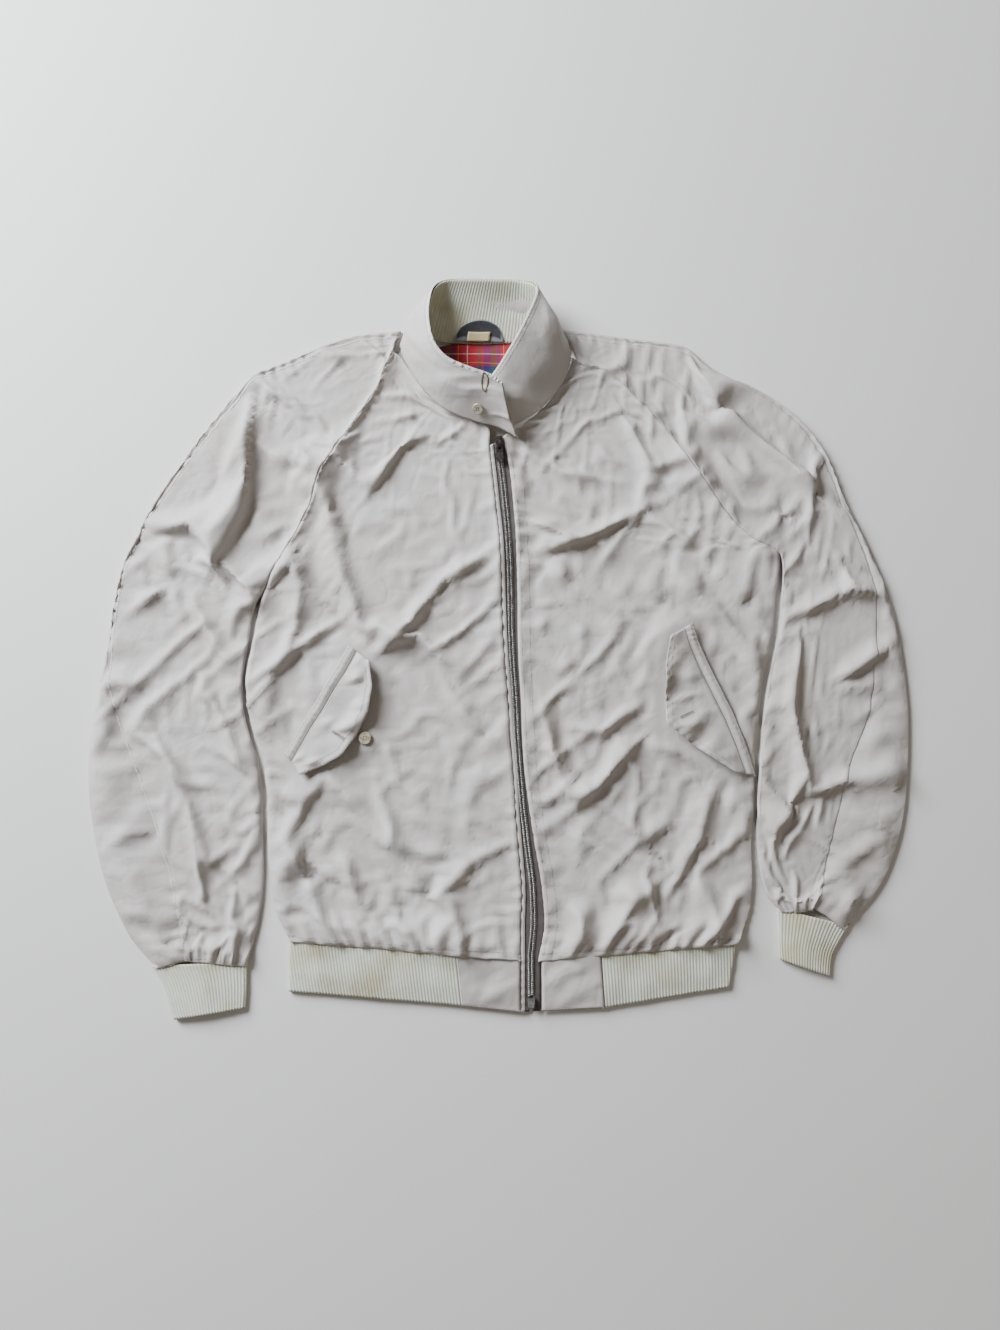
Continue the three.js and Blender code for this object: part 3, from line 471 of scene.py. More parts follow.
# path in mm; rise, and reach to the left and right of the way the path is walked
CREASES = [Crease(*row) for row in (
    # right sleeve
    (((-282, 73), (-252, 131), (-249, 205), (-250, 266)), 7, 30, 3),
    (((-332, 110), (-305, 116), (-284, 92), (-277, 66)), 7, 14, 5),
    (((-310, 12), (-325, 60), (-332, 96)), 5, 8, 14),
    (((-335, 32), (-366, 86)), 4, 12, 8),
    (((-310, 51), (-280, 0), (-255, -33)), 5, 12, 6),
    (((-364, 27), (-329, 51)), 4, 6, 5),
    (((-258, -252), (-308, -147), (-347, -60)), 7, 22, 9),
    (((-289, -38), (-262, -90), (-247, -137)), 5, 10, 10),
    (((-274, 81), (-244, 51), (-236, 20)), 6, 14, 5),
    (((-240, 205), (-215, 172), (-192, 151)), 6, 16, 7),
    (((-228, 189), (-180, 169)), 4, 12, 5),
    (((-240, 103), (-219, 111)), 4, 12, 6),
    (((-300, -170), (-288, -215), (-280, -262)), 5, 8, 9),
    (((-310, -311), (-327, -271), (-376, -207)), 6, 8, 16),
    (((-386, -48), (-358, -38)), 3, 8, 6),
    (((-192, 305), (-162, 285)), 5, 12, 6),
    (((-148, 290), (-104, 296)), 4, 12, 7),
    # right front
    (((-131, 143), (-83, 212)), 6, 18, 5),
    (((-158, 181), (-128, 149)), 5, 14, 5),
    (((-180, 153), (-162, 111)), 6, 16, 7),
    (((-75, 250), (-119, 248)), 3, 12, 6),
    (((-106, 223), (-83, 228)), 4, 8, 4),
    (((-159, 91), (-133, 7)), 5, 8, 14),
    (((-112, -10), (-56, 59), (-11, 85)), 8, 22, 5),
    (((-118, -3), (-80, 4), (-60, -12), (-46, -32)), 6, 14, 6),
    (((-248, -44), (-199, -8), (-158, 20)), 6, 18, 5),
    (((-228, 51), (-206, 83), (-194, 53)), 6, 10, 5),
    (((-194, 53), (-201, 20)), 5, 5, 10),
    (((-41, -38), (2, 12)), 4, 12, 6),
    (((-167, -127), (-119, -179), (-60, -252)), 8, 12, 12),
    (((-207, -195), (-190, -215), (-174, -249)), 8, 10, 12),
    (((-120, -137), (-98, -197)), 4, 8, 4),
    (((-102, -192), (-70, -204), (-48, -205)), 6, 18, 8),
    (((-65, -252), (-34, -222)), 4, 10, 7),
    (((-41, -63), (-17, -93)), 3, 12, 8),
    (((-110, -100), (-98, -130)), 3, 5, 5),
    (((-150, -205), (-130, -262)), 6, 7, 9),
    # left front
    (((12, 198), (50, 175), (85, 163), (138, 156)), 6, 22, 8),
    (((121, 230), (150, 173)), 6, 16, 8),
    (((153, 173), (187, 183), (218, 143)), 6, 14, 7),
    (((46, 91), (82, 101), (138, 127)), 7, 16, 4),
    (((97, 73), (138, 127)), 4, 4, 10),
    (((32, 121), (78, 99)), 5, 10, 4),
    (((46, 79), (80, 48), (119, 24)), 6, 16, 8),
    (((138, 131), (198, 89)), 5, 14, 8),
    (((204, 106), (240, 91)), 4, 14, 7),
    (((165, 76), (187, 48), (225, 12), (264, -34)), 6, 14, 7),
    (((138, 59), (160, 36)), 5, 12, 5),
    (((111, 51), (138, 26)), 4, 12, 6),
    (((206, 76), (257, 20)), 5, 14, 5),
    (((61, -83), (99, -88), (138, -60)), 6, 14, 7),
    (((61, -142), (42, -70)), 6, 5, 9),
    (((63, -153), (92, -145), (136, -98)), 8, 18, 4),
    (((92, -153), (138, -189), (181, -169)), 6, 14, 12),
    (((138, -100), (211, -117)), 4, 8, 12),
    (((156, -252), (189, -195), (208, -139)), 6, 14, 7),
    (((191, -223), (237, -185)), 6, 14, 8),
    (((70, -252), (84, -294)), 6, 9, 10),
    (((99, -294), (138, -232)), 6, 14, 9),
    (((140, -227), (152, -278)), 5, 6, 6),
    # left sleeve
    (((196, 282), (222, 230), (262, 192), (309, 149)), 9, 30, 4),
    (((280, 210), (307, 153)), 6, 8, 14),
    (((311, 151), (315, 206)), 6, 16, 8),
    (((280, 66), (305, 101), (309, 149)), 5, 8, 16),
    (((290, 24), (342, 49), (381, 45)), 7, 12, 4),
    (((330, 91), (350, 47)), 4, 6, 6),
    (((334, -36), (379, -8)), 7, 12, 4),
    (((332, -48), (381, -43)), 5, 12, 5),
    (((284, -68), (301, -142)), 5, 5, 8),
    (((291, -88), (315, -86)), 4, 10, 6),
    (((299, -147), (347, -132)), 6, 12, 5),
    (((259, -187), (293, -137)), 6, 10, 6),
    (((266, -217), (313, -147)), 5, 12, 8),
    (((347, -137), (395, -127)), 5, 16, 8),
    (((361, -93), (395, -88)), 4, 14, 6),
    (((384, -147), (376, -117)), 4, 6, 5),
    (((196, 305), (230, 298), (264, 250)), 6, 16, 8),
)]

Hollow = namedtuple("Hollow", "x y reach depth")
HOLLOWS = [Hollow(*row) for row in (
    (-229, 240, 20, 5), (-208, 172, 16, 4), (-305, 86, 16, 5), (-222, 52, 12, 5),
    (-128, -8, 14, 4), (-185, -225, 14, 5), (-88, -212, 18, 4), (-22, -225, 14, 4),
    (108, -165, 18, 4), (150, -205, 14, 3), (242, 178, 20, 5), (285, 125, 14, 5),
    (105, 182, 16, 3), (165, 168, 12, 4), (75, 62, 10, 3), (-150, -168, 12, 4),
)]


def crease_heights(x, y):
    """Height in mm that the listed creases and hollows add at places in mm."""
    total = np.zeros_like(x)
    for crease in CREASES:
        path = np.array(crease.path, float)
        nearest = np.full(x.shape, np.inf)
        side = np.zeros_like(x)
        share = np.zeros_like(x)
        walked, whole = 0.0, np.linalg.norm(np.diff(path, axis=0), axis=1).sum()
        for start, end in zip(path[:-1], path[1:]):
            way = end - start
            length = math.hypot(*way)
            t = np.clip(((x - start[0]) * way[0] + (y - start[1]) * way[1]) / length ** 2, 0, 1)
            off_x, off_y = x - start[0] - t * way[0], y - start[1] - t * way[1]
            away = np.hypot(off_x, off_y)
            closer = away < nearest
            side = np.where(closer, way[0] * off_y - way[1] * off_x, side)
            share = np.where(closer, (walked + t * length) / whole, share)
            nearest = np.minimum(nearest, away)
            walked += length
        reach = np.where(side > 0, crease.left, crease.right)
        taper = np.clip(0.35 + 3 * np.minimum(share, 1 - share), 0, 1)
        total += crease.rise * taper * np.exp(-(nearest / reach) ** 1.2)
    for hollow in HOLLOWS:
        away = np.hypot(x - hollow.x, y - hollow.y)
        total -= hollow.depth * np.exp(-(away / hollow.reach) ** 2)
    return total


NOISE_CELLS = 64


def noise(x, y, scale, seed, turn=0.0, stretch=1.0):
    """Smooth noise from -1 to 1 over the plane, drawn out `stretch` times along `turn`."""
    table = np.random.default_rng(seed).uniform(-1, 1, (NOISE_CELLS, NOISE_CELLS))
    c, s = math.cos(turn), math.sin(turn)
    u = (x * c + y * s) / (scale * stretch) + NOISE_CELLS
    v = (y * c - x * s) / scale + NOISE_CELLS
    i, j = np.floor(u).astype(int), np.floor(v).astype(int)
    fu, fv = u - i, v - j
    fu, fv = fu * fu * (3 - 2 * fu), fv * fv * (3 - 2 * fv)
    corners = [table[(i + a) % NOISE_CELLS, (j + b) % NOISE_CELLS] for a in (0, 1) for b in (0, 1)]
    low = corners[0] * (1 - fu) + corners[2] * fu
    high = corners[1] * (1 - fu) + corners[3] * fu
    return low * (1 - fv) + high * fv


# short wrinkles: seed of the noise, turn of the wrinkles, scale and height in mm
WRINKLES = ((3, 0.75, 22, 1.6), (4, -0.6, 18, 1.2), (5, 1.4, 15, 0.9), (6, 0.1, 11, 0.6))


def crumple(x, y):
    """Uneven creasing all over, in mm: broad swells and short sharp-topped wrinkles."""
    swell = 1.3 * noise(x, y, 55, 1) + 0.9 * noise(x, y, 28, 2, 0.7, 1.8)
    sharp = np.zeros_like(x)
    for seed, turn, scale, height in WRINKLES:
        ridge = 1 - np.abs(noise(x, y, scale, seed, turn, 2.6)) * 2.2
        patch = np.clip(0.5 + 1.2 * noise(x, y, 60, seed + 20), 0, 1)
        sharp += height * patch * np.clip(ridge, 0, 1) ** 1.6
    return swell + sharp


def gathers(along, away, pitch, height, reach, seed):
    """Pleats that run in from a gathered edge, in mm, each with its own place, length, lean and height."""
    rng = np.random.default_rng(seed)
    total = np.zeros_like(along)
    place = along.min()
    while place < along.max():
        width = pitch * rng.uniform(0.2, 0.42)
        lean = rng.uniform(-0.45, 0.45)
        length = reach * rng.uniform(0.3, 1.5)
        tall = height * rng.uniform(0.35, 1.2)
        off = (along - place - lean * away) / (width * (1 + away / reach))
        total += tall * np.exp(-off ** 2) * np.exp(-(away / length) ** 1.5)
        place += pitch * rng.uniform(0.6, 1.5)
    return total


def puckers(along, away, pitch, height, reach, seed):
    """Short ripples across a stitched seam."""
    drift = 2.2 * noise(along, 0 * along, pitch * 2.5, seed)
    strength = np.clip(0.6 + 0.9 * noise(along, 0 * along, pitch * 5, seed + 1), 0.1, 1.3)
    wave = np.sin(2 * np.pi * along / pitch + drift + away * 0.12)
    return height * strength * wave * np.exp(-(away / reach) ** 1.4)


# ---- meshes ----
def link(obj):
    SCENE.collection.objects.link(obj)
    return obj


def grid_object(name, grid, facing=None):
    """A smooth mesh over a grid, with arc-length UVs in metres; `facing` is the way it should look."""
    rows, columns = grid.shape[:2]
    index = np.arange(rows * columns).reshape(rows, columns)
    quads = np.stack([index[:-1, :-1], index[:-1, 1:], index[1:, 1:], index[1:, :-1]], axis=-1).reshape(-1, 4)
    if facing is not None and (normals(grid) * facing).sum() < 0:
        quads = quads[:, ::-1]
    mesh = bpy.data.meshes.new(name)
    mesh.from_pydata(grid.reshape(-1, 3).tolist(), [], quads.tolist())
    uv = np.stack([lengths_along(grid, 1), lengths_along(grid, 0)], axis=2).reshape(-1, 2)
    layer = mesh.uv_layers.new(name="UVMap")
    layer.data.foreach_set("uv", uv[quads.ravel()].astype(np.float32).ravel())
    mesh.shade_smooth()
    return link(bpy.data.objects.new(name, mesh))


def apply_modifiers(obj):
    """Swaps an object's mesh for the one its modifiers make."""
    graph = bpy.context.evaluated_depsgraph_get()
    mesh = bpy.data.meshes.new_from_object(obj.evaluated_get(graph), depsgraph=graph)
    old = obj.data
    obj.modifiers.clear()
    obj.data = mesh
    bpy.data.meshes.remove(old)


def thicken(obj, thickness):
    """Gives a sheet its thickness, away from its face."""
    modifier = obj.modifiers.new("thickness", "SOLIDIFY")
    modifier.thickness = thickness * MM
    modifier.offset = -1
    modifier.use_even_offset = False
    apply_modifiers(obj)


def finish_piece(obj, material, replaces=()):
    """Gives a piece its material and its body, and hides the nodes it replaces."""
    obj.data.materials.clear()
    obj.data.materials.append(material)
    obj.data.shade_smooth()
    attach(obj, "jacket")
    if replaces:
        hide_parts(*replaces)
    return obj


def cloth_piece(node, grid, material, thickness=0.7, facing=(0, 0, 1)):
    """A sheet piece, given its thickness, that replaces a node."""
    obj = grid_object(node + "_cloth", grid, facing)
    thicken(obj, thickness)
    finish_piece(obj, material, [node])
    return obj


def turned_piece(node, kind, grid, facing, thickness, material):
    """A sheet piece that is turned over if it would look away from `facing`."""
    obj = grid_object(f"{node}_{kind}", grid)
    if (normals(grid) * facing).sum() < 0:
        obj.data.flip_normals()
    thicken(obj, thickness)
    finish_piece(obj, material, [node])


SHEET_GROWTH = 0.02  # how much longer the cloth is than the space it lies in
SETTLE_FRAMES = 26
TABLE_HEIGHT = 2.6  # the lower layer, which the upper one settles on


def settle(name, grid, pinned):
    """Lets a sheet that is a little too large for its seams buckle and settle on the layer below."""
    corners = np.array([[(-1, -1, 0), (1, -1, 0)], [(-1, 1, 0), (1, 1, 0)]], float)
    table = grid_object("table", corners, (0, 0, 1))
    table.location.z = TABLE_HEIGHT * MM
    table.modifiers.new("collision", "COLLISION")
    table.collision.thickness_outer = 0.4 * MM
    table.collision.cloth_friction = 8
    sheet = grid_object(name, grid, (0, 0, 1))
    group = sheet.vertex_groups.new(name="pinned")
    group.add([int(i) for i in np.flatnonzero(pinned.ravel())], 1.0, "REPLACE")
    cloth = sheet.modifiers.new("cloth", "CLOTH")
    settings = cloth.settings
    settings.quality = 6
    settings.mass = 0.15
    settings.tension_stiffness = settings.compression_stiffness = 30
    settings.shear_stiffness = 8
    settings.bending_stiffness = 60
    settings.tension_damping = settings.compression_damping = settings.shear_damping = 5
    settings.bending_damping = 0.3
    settings.air_damping = 2
    settings.vertex_group_mass = "pinned"
    settings.shrink_min = -SHEET_GROWTH
    cloth.collision_settings.distance_min = 0.6 * MM
    cloth.point_cache.frame_start = 1
    cloth.point_cache.frame_end = SETTLE_FRAMES
    for step in range(1, SETTLE_FRAMES + 1):
        SCENE.frame_set(step)
    graph = bpy.context.evaluated_depsgraph_get()
    settled = sheet.evaluated_get(graph).data
    points = np.zeros(len(settled.vertices) * 3)
    settled.vertices.foreach_get("co", points)
    SCENE.frame_set(1)
    for obj in (sheet, table):
        mesh = obj.data
        bpy.data.objects.remove(obj)
        bpy.data.meshes.remove(mesh)
    return points.reshape(grid.shape)


# ---- fronts and sleeves: the upper layer ----
FRONT_ROW_STEPS = 8
FRONT_COLUMN_STEPS = 5
SLEEVE_ROW_STEPS = 8
SLEEVE_TOP_STEPS = [5] * 8 + [4, 4]  # front half, then the strip of the back half that lies on top
SLEEVE_REST_STEPS = [1] * 5 + [2] * 4  # round the fold and under
SEAM_COLUMN = sum(SLEEVE_TOP_STEPS[:8])
FOLD_COLUMN = sum(SLEEVE_TOP_STEPS)
CREASE_GAIN = 1.4  # this and the next are chosen, and multiply the heights in mm
CRUMPLE_GAIN = 2.2
EDGE_FADE = 8  # creases die out over this distance from a free edge
SHELL = 2.0  # thickness of the frame's shell walls, and below of its other walls
KNIT_WALL, BAND_WALL, FLAP_WALL, WELT_WALL, THIN_WALL, LABEL_WALL = 2.3, 1.6, 1.6, 1.2, 1.0, 0.8

SIDES = {"right": -1, "left": 1}  # the wearer's, and the sign of X there

front_cad = {
    side: face_grid("front_" + side, SHELL, 13, mean_z, mean_y, mean_of(0, -sign))
    for side, sign in SIDES.items()}
sleeve_front_cad = {
    side: face_grid(f"sleeve_{side}_front", SHELL, 9, mean_z, mean_of(1, -1), mean_of(0, sign))
    for side, sign in SIDES.items()}
sleeve_back_cad = {
    side: face_grid(f"sleeve_{side}_back", SHELL, 12, height_spread, mean_of(1, -1), mean_of(2, -1))
    for side in SIDES}


def distance_to(grid, points):
    """Plan distance in mm from every point of a grid to the nearest of some points."""
    plan = grid.reshape(-1, 3)[:, None, :2] - points[None, :, :2]
    return np.sqrt((plan ** 2).sum(axis=2)).min(axis=1).reshape(grid.shape[:2]) / MM


def creased(grid, free_edge):
    """The grid with the creases added, fading towards the points of its free edge."""
    x, y = plan(grid)
    fade = 1 - np.exp(-distance_to(grid, free_edge) / EDGE_FADE)
    out = grid.copy()
    out[..., 2] += fade * (CREASE_GAIN * crease_heights(x, y) + CRUMPLE_GAIN * crumple(x, y)) * MM
    return out


def border_mask(grid):
    """True at the points of a grid's rim."""
    mask = np.zeros(grid.shape[:2], bool)
    mask[[0, -1]] = True
    mask[:, [0, -1]] = True
    return mask


def eased_to(grid, target, share):
    """Brings heights back to the frame's where a hard piece or a pocket lies on the cloth."""
    out = grid.copy()
    out[..., 2] += share * (target[..., 2] - grid[..., 2])
    return out


def box_middle(node):
    low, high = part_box(node)
    return (Vector(low) + Vector(high)) / 2


LOWEST_EDGE = 0.8  # a rolled edge stays this far above the floor, just over the shell cloth's thickness


def rounded_edge(grid, outward, drop):
    """Rolls the cloth over at column 0: out by `outward` (one value a row, mm) and down by `drop`."""
    away = level_way(grid[:, 2], grid[:, 0])
    extra = []
    for angle in np.radians((90, 60, 30)):
        line = grid[:, 0] + away * (outward * math.sin(angle) * MM)[:, None]
        line[:, 2] -= drop * (1 - math.cos(angle)) * MM
        line[:, 2] = np.maximum(line[:, 2], LOWEST_EDGE * MM)
        extra.append(line)
    return np.concatenate([np.stack(extra, axis=1), grid], axis=1)


def rounded_far_edge(grid, outward, drop):
    """Rolls the cloth over at its last column in the same way."""
    return rounded_edge(grid[:, ::-1], np.full(len(grid), outward), drop)[:, ::-1]


COLLAR_TUCK = 5.0  # the sleeves run this far under the collar
SEAM_TUCK = 2.5  # the sleeve's back half runs this far under the front half
RAGLAN_GAP = 4.0  # edges of fronts and sleeves nearer than this are sewn together


def free_share(line, other):
    """1 along a free edge and 0 along the raglan seam, where the other panel is near."""
    near = np.sqrt(((line[:, None, :2] - other[None, :, :2]) ** 2).sum(axis=2)).min(axis=1) / MM
    return np.clip((near - RAGLAN_GAP) / RAGLAN_GAP, 0, 1)


def under_collar(grid):
    """A sleeve's neck end, run on a little way below the collar."""
    first = grid[:1] + level_way(grid[2], grid[0]) * COLLAR_TUCK * MM
    first[..., 2] = np.maximum(first[..., 2] - 0.8 * MM, 0)
    return np.concatenate([first, grid])


HEM_OVERLAP = 6.0  # the shell bulges this far over the hem rib
CUFF_OVERLAP = 9.0
KNIT_COLUMNS = {"cuff_right": 17, "cuff_left": 17, "hem_rib": 31}
knit_cad = {
    node: face_grid(node, KNIT_WALL, columns, height_spread, mean_y, mean_x)
    for node, columns in KNIT_COLUMNS.items()}


def run_onto(grid, end, knit, reach):
    """Runs the cloth on past its sewn end, row 0 or -1, and down onto the knit."""
    line = grid[end]
    way = level_way(grid[2 if end == 0 else -3], line)
    fine = evenly(refined(knit, 4, 1), 160).reshape(-1, 3)
    top = fine[fine[:, 2] > 0.6 * fine[:, 2].max()]
    upper = line[:, 2] > 2 * MM
    lobes = 1 + 0.16 * noise(*plan(line), 17, 210)
    extra = []
    for share in (0.25, 0.5, 0.75, 1.0):
        row = line + way * (lobes * np.where(upper, reach, 0.3) * share * MM)[:, None]
        apart = ((row[:, None, :2] - top[None, :, :2]) ** 2).sum(axis=2)
        rests_at = top[apart.argmin(axis=1), 2] + 0.5 * MM
        sunk = line[:, 2] + (rests_at - line[:, 2]) * share ** 2
        row[:, 2] = np.where(upper, sunk, line[:, 2])
        extra.append(row)
    extra = np.stack(extra)
    return np.concatenate([extra[::-1], grid]) if end == 0 else np.concatenate([grid, extra])


pocket_lines = {}
for side, sign in SIDES.items():
    flap = face_grid("pocket_flap_" + side, FLAP_WALL, 4, mean_z, mean_y, mean_of(0, -sign))
    pocket_lines[side] = refined(flap, 4, 5)
button_spot = np.array([box_middle("pocket_button")])
slider_spot = np.array([box_middle("zip_slider")])

HEM_GATHERS = dict(pitch=15, height=7.0, reach=46)
CUFF_GATHERS = dict(pitch=11, height=4.8, reach=30)

CENTRE_EDGE_REACH = {"right": 0.2, "left": 2.4}  # the left edge overlaps its zip tape
top_grids = {}
for side in SIDES:
    seed = 40 if side == "right" else 60
    flat = refined(front_cad[side], FRONT_ROW_STEPS, FRONT_COLUMN_STEPS)
    sleeve_edge = refined(sleeve_front_cad[side], SLEEVE_ROW_STEPS, 1)[:, 0]
    side_free = free_share(flat[:, 0], sleeve_edge)
    free_edge = np.concatenate([flat[0], flat[-1], flat[:, -1], flat[side_free > 0.5, 0]])
    from_hem, from_side = measured(flat)
    from_centre = from_side[:, -1:] - from_side
    grid = creased(flat, free_edge)
    hem_along = np.broadcast_to(from_side[:1], from_side.shape)
    pleats = gathers(hem_along, from_hem, seed=seed, **HEM_GATHERS)
    grid[..., 2] += MM * pleats * np.clip(from_centre / 25, 0, 1)
    grid = settle("front_" + side, grid, border_mask(grid))
    on_pocket = np.clip(1.5 - distance_to(grid, pocket_lines[side].reshape(-1, 3)) / 14, 0, 1)
    on_metal = np.clip(2 - distance_to(grid, slider_spot) / 10, 0, 1)
    if side == "right":
        on_metal = np.maximum(on_metal, np.clip(2.2 - distance_to(grid, button_spot) / 9, 0, 1))
    grid = eased_to(grid, flat, np.maximum(0.85 * on_pocket, on_metal))
    relief = puckers(from_hem, from_centre, 13, 0.9, 16, seed + 3)
    relief += puckers(from_hem, from_side, 9, 0.5, 6, seed + 5)
    relief += puckers(hem_along, from_hem, 5.5, 0.8, 7, seed + 7)
    grid[..., 2] += relief * MM * (1 - on_metal)
    grid = rounded_edge(grid, 1.6 * side_free, 3.0)
    grid = rounded_far_edge(grid, CENTRE_EDGE_REACH[side], 1.6)
    top_grids["front_" + side] = grid
    grid = run_onto(grid, 0, knit_cad["hem_rib"], HEM_OVERLAP)
    cloth_piece("front_" + side, grid, CLOTH)

for side in SIDES:
    seed = 80 if side == "right" else 100
    whole = np.concatenate([sleeve_front_cad[side], sleeve_back_cad[side][:, 1:]], axis=1)
    flat = refined(whole, SLEEVE_ROW_STEPS, SLEEVE_TOP_STEPS + SLEEVE_REST_STEPS)
    top, rest = flat[:, :FOLD_COLUMN + 1], flat[:, FOLD_COLUMN + 1:]
    front_edge = refined(front_cad[side], FRONT_ROW_STEPS, 1)[:, 0]
    side_free = free_share(top[:, 0], front_edge)
    free_edge = np.concatenate([top[0], top[-1], top[:, -1], top[side_free > 0.5, 0]])
    grid = creased(top, free_edge)
    from_neck, across = measured(top)
    from_cuff = from_neck[-1:] - from_neck
    cuff_along = np.broadcast_to(across[-1:], across.shape)
    grid[..., 2] += MM * gathers(cuff_along, from_cuff, seed=seed, **CUFF_GATHERS)
    grid = settle("sleeve_" + side, grid, border_mask(grid))
    from_seam = np.abs(across - across[:, SEAM_COLUMN:SEAM_COLUMN + 1])
    relief = puckers(from_neck, from_seam, 12, 1.0, 11, seed + 3) - 0.5 * np.exp(-(from_seam / 2.5) ** 2)
    relief += puckers(from_neck, across, 9, 0.5, 6, seed + 5) * (1 - side_free[:, None])
    relief += puckers(cuff_along, from_cuff, 5.0, 0.7, 6, seed + 7)
    grid[..., 2] += relief * MM
    grid, rest = under_collar(grid), under_collar(rest)
    side_free = np.insert(side_free, 0, side_free[0])
    front_half = grid[:, :SEAM_COLUMN + 1]
    front_half = rounded_edge(front_half, 1.6 * side_free, 3.0)
    front_half = rounded_far_edge(front_half, 0.05, 0.3)
    front_half = run_onto(front_half, -1, knit_cad["cuff_" + side], CUFF_OVERLAP)
    top_grids[f"sleeve_{side}_front"] = front_half
    back_half = np.concatenate([grid[:, SEAM_COLUMN:], rest], axis=1)
    inward = unit(grid[:, SEAM_COLUMN - 1] - grid[:, SEAM_COLUMN])
    tuck = grid[:, SEAM_COLUMN] + inward * SEAM_TUCK * MM - np.array((0, 0, 0.6 * MM))
    back_half = np.concatenate([tuck[:, None], back_half], axis=1)
    back_half = run_onto(back_half, -1, knit_cad["cuff_" + side], CUFF_OVERLAP)
    outward = np.zeros_like(back_half)
    outward[..., 2] = np.where(back_half[..., 2] > 2 * MM, 1, -1)
    back = cloth_piece(f"sleeve_{side}_back", back_half, CLOTH,
                       facing=outward)
    cloth_piece(f"sleeve_{side}_front", front_half, CLOTH)

back_grid = refined(face_grid("back_panel", SHELL, 5, mean_of(2, -1), mean_y, mean_x), 3, 6)
cloth_piece("back_panel", back_grid, CLOTH, 1.2, (0, 0, -1))


# ---- knitted cuffs and hem ----
RIB_PITCH = 3.0
RIB_HEIGHT = 0.62
RIB_SAMPLES = 4  # columns of points to each rib


def ribbed(grid, outward):
    """Fine grid of a knit whose ribs run from the first row to the last."""
    girth = lengths_along(grid, 1)[:, -1].mean() / MM
    ribs = round(girth / RIB_PITCH)
    fine = evenly(grid, ribs * RIB_SAMPLES + 1)
    wave = np.abs(np.sin(np.pi * np.arange(fine.shape[1]) / RIB_SAMPLES))
    facing = normals(fine)
    facing *= np.sign((facing * outward(fine)).sum(axis=2))[..., None]
    return fine, facing, wave


def from_axis(grid):
    """From the middle of a flattened tube outwards."""
    middle = (grid.max(axis=1) + grid.min(axis=1)) / 2
    away = grid - middle[:, None]
    away[..., 2] *= 8
    away[..., :2] *= 0.15
    return away


RIB_THICKNESS = 1.1

for seed, (node, coarse) in enumerate(knit_cad.items()):
    fine, facing, wave = ribbed(refined(coarse, 7, 1), from_axis)
    x, y = plan(fine)
    low = fine[..., 2] < 1.0 * MM
    relief = RIB_HEIGHT * (wave - 1) + 0.5 * noise(x, y, 16, 120 + seed, 1.5, 2.0) * (facing[..., 2] > 0.5)
    relief = np.where(low, RIB_HEIGHT * (wave - 1) * 0.3, relief)
    grid = fine + facing * relief[..., None] * MM
    grid[..., 2] = np.maximum(grid[..., 2], 0.05 * MM)
    turned_piece(node, "knit", grid, from_axis(fine), RIB_THICKNESS, KNIT)

for side, sign in SIDES.items():
    tab = refined(face_grid("hem_tab_" + side, SHELL, 4, mean_z, mean_y, mean_of(0, -sign)), 6, 6)
    x, y = plan(tab)
    inner = np.clip(distance_to(tab, np.concatenate([tab[0], tab[-1], tab[:, 0], tab[:, -1]])) / 6, 0, 1)
    relief = 1.5 * noise(x, y, 11, 130 + sign, 0.6, 2.2) + 0.8 * noise(x, y, 6, 133, 0.5, 2)
    tab[..., 2] += inner * relief * MM
    tab = rounded_far_edge(tab, 0.05, 1.6)
    top_grids["hem_tab_" + side] = tab
    cloth_piece("hem_tab_" + side, tab, CLOTH, 1.2)


# ---- pockets ----
for side, sign in SIDES.items():
    welt = refined(face_grid("pocket_welt_" + side, WELT_WALL, 2, mean_z, mean_y, mean_of(0, -sign)), 6, 6)
    along, across = measured(welt)
    middle = 1 - np.abs(2 * across / across[:, -1:] - 1)
    ladder = np.abs(np.sin(np.pi * along / 5.2 + noise(along, across, 18, 140))) ** 0.7
    welt[..., 2] += middle * (2.2 * ladder - 0.3) * MM
    top_grids["pocket_welt_" + side] = welt
    below = [f"front_{side}_cloth"]
    cloth_piece("pocket_welt_" + side, welt, CLOTH, 0.6)

    flap = pocket_lines[side].copy()
    along, across = measured(flap)
    share = across / across[:, -1:]
    x, y = plan(flap)
    lift = 3.0 * share ** 2 + share * (4.2 * noise(x, y, 15, 150 + sign, 0.9, 1.6) + 1.2)
    lift += 5.0 * np.clip(noise(x, y, 9, 153 + sign, 0.2, 2.0), 0, 1) * np.sin(np.pi * share)
    lift += puckers(along, across[:, -1:] - across, 8, 1.1, 8, 156)
    if side == "right":
        lift *= np.clip(distance_to(flap, button_spot) / 10 - 0.6, 0, 1)
    flap[..., 2] += lift * MM
    flap = rounded_far_edge(flap, 0.2, 0.9)
    top_grids["pocket_flap_" + side] = flap
    cloth_piece("pocket_flap_" + side, flap, CLOTH, 0.8)


# ---- collar, lining and labels ----
def surface_area(grid):
    return cut_size(grid)[2]


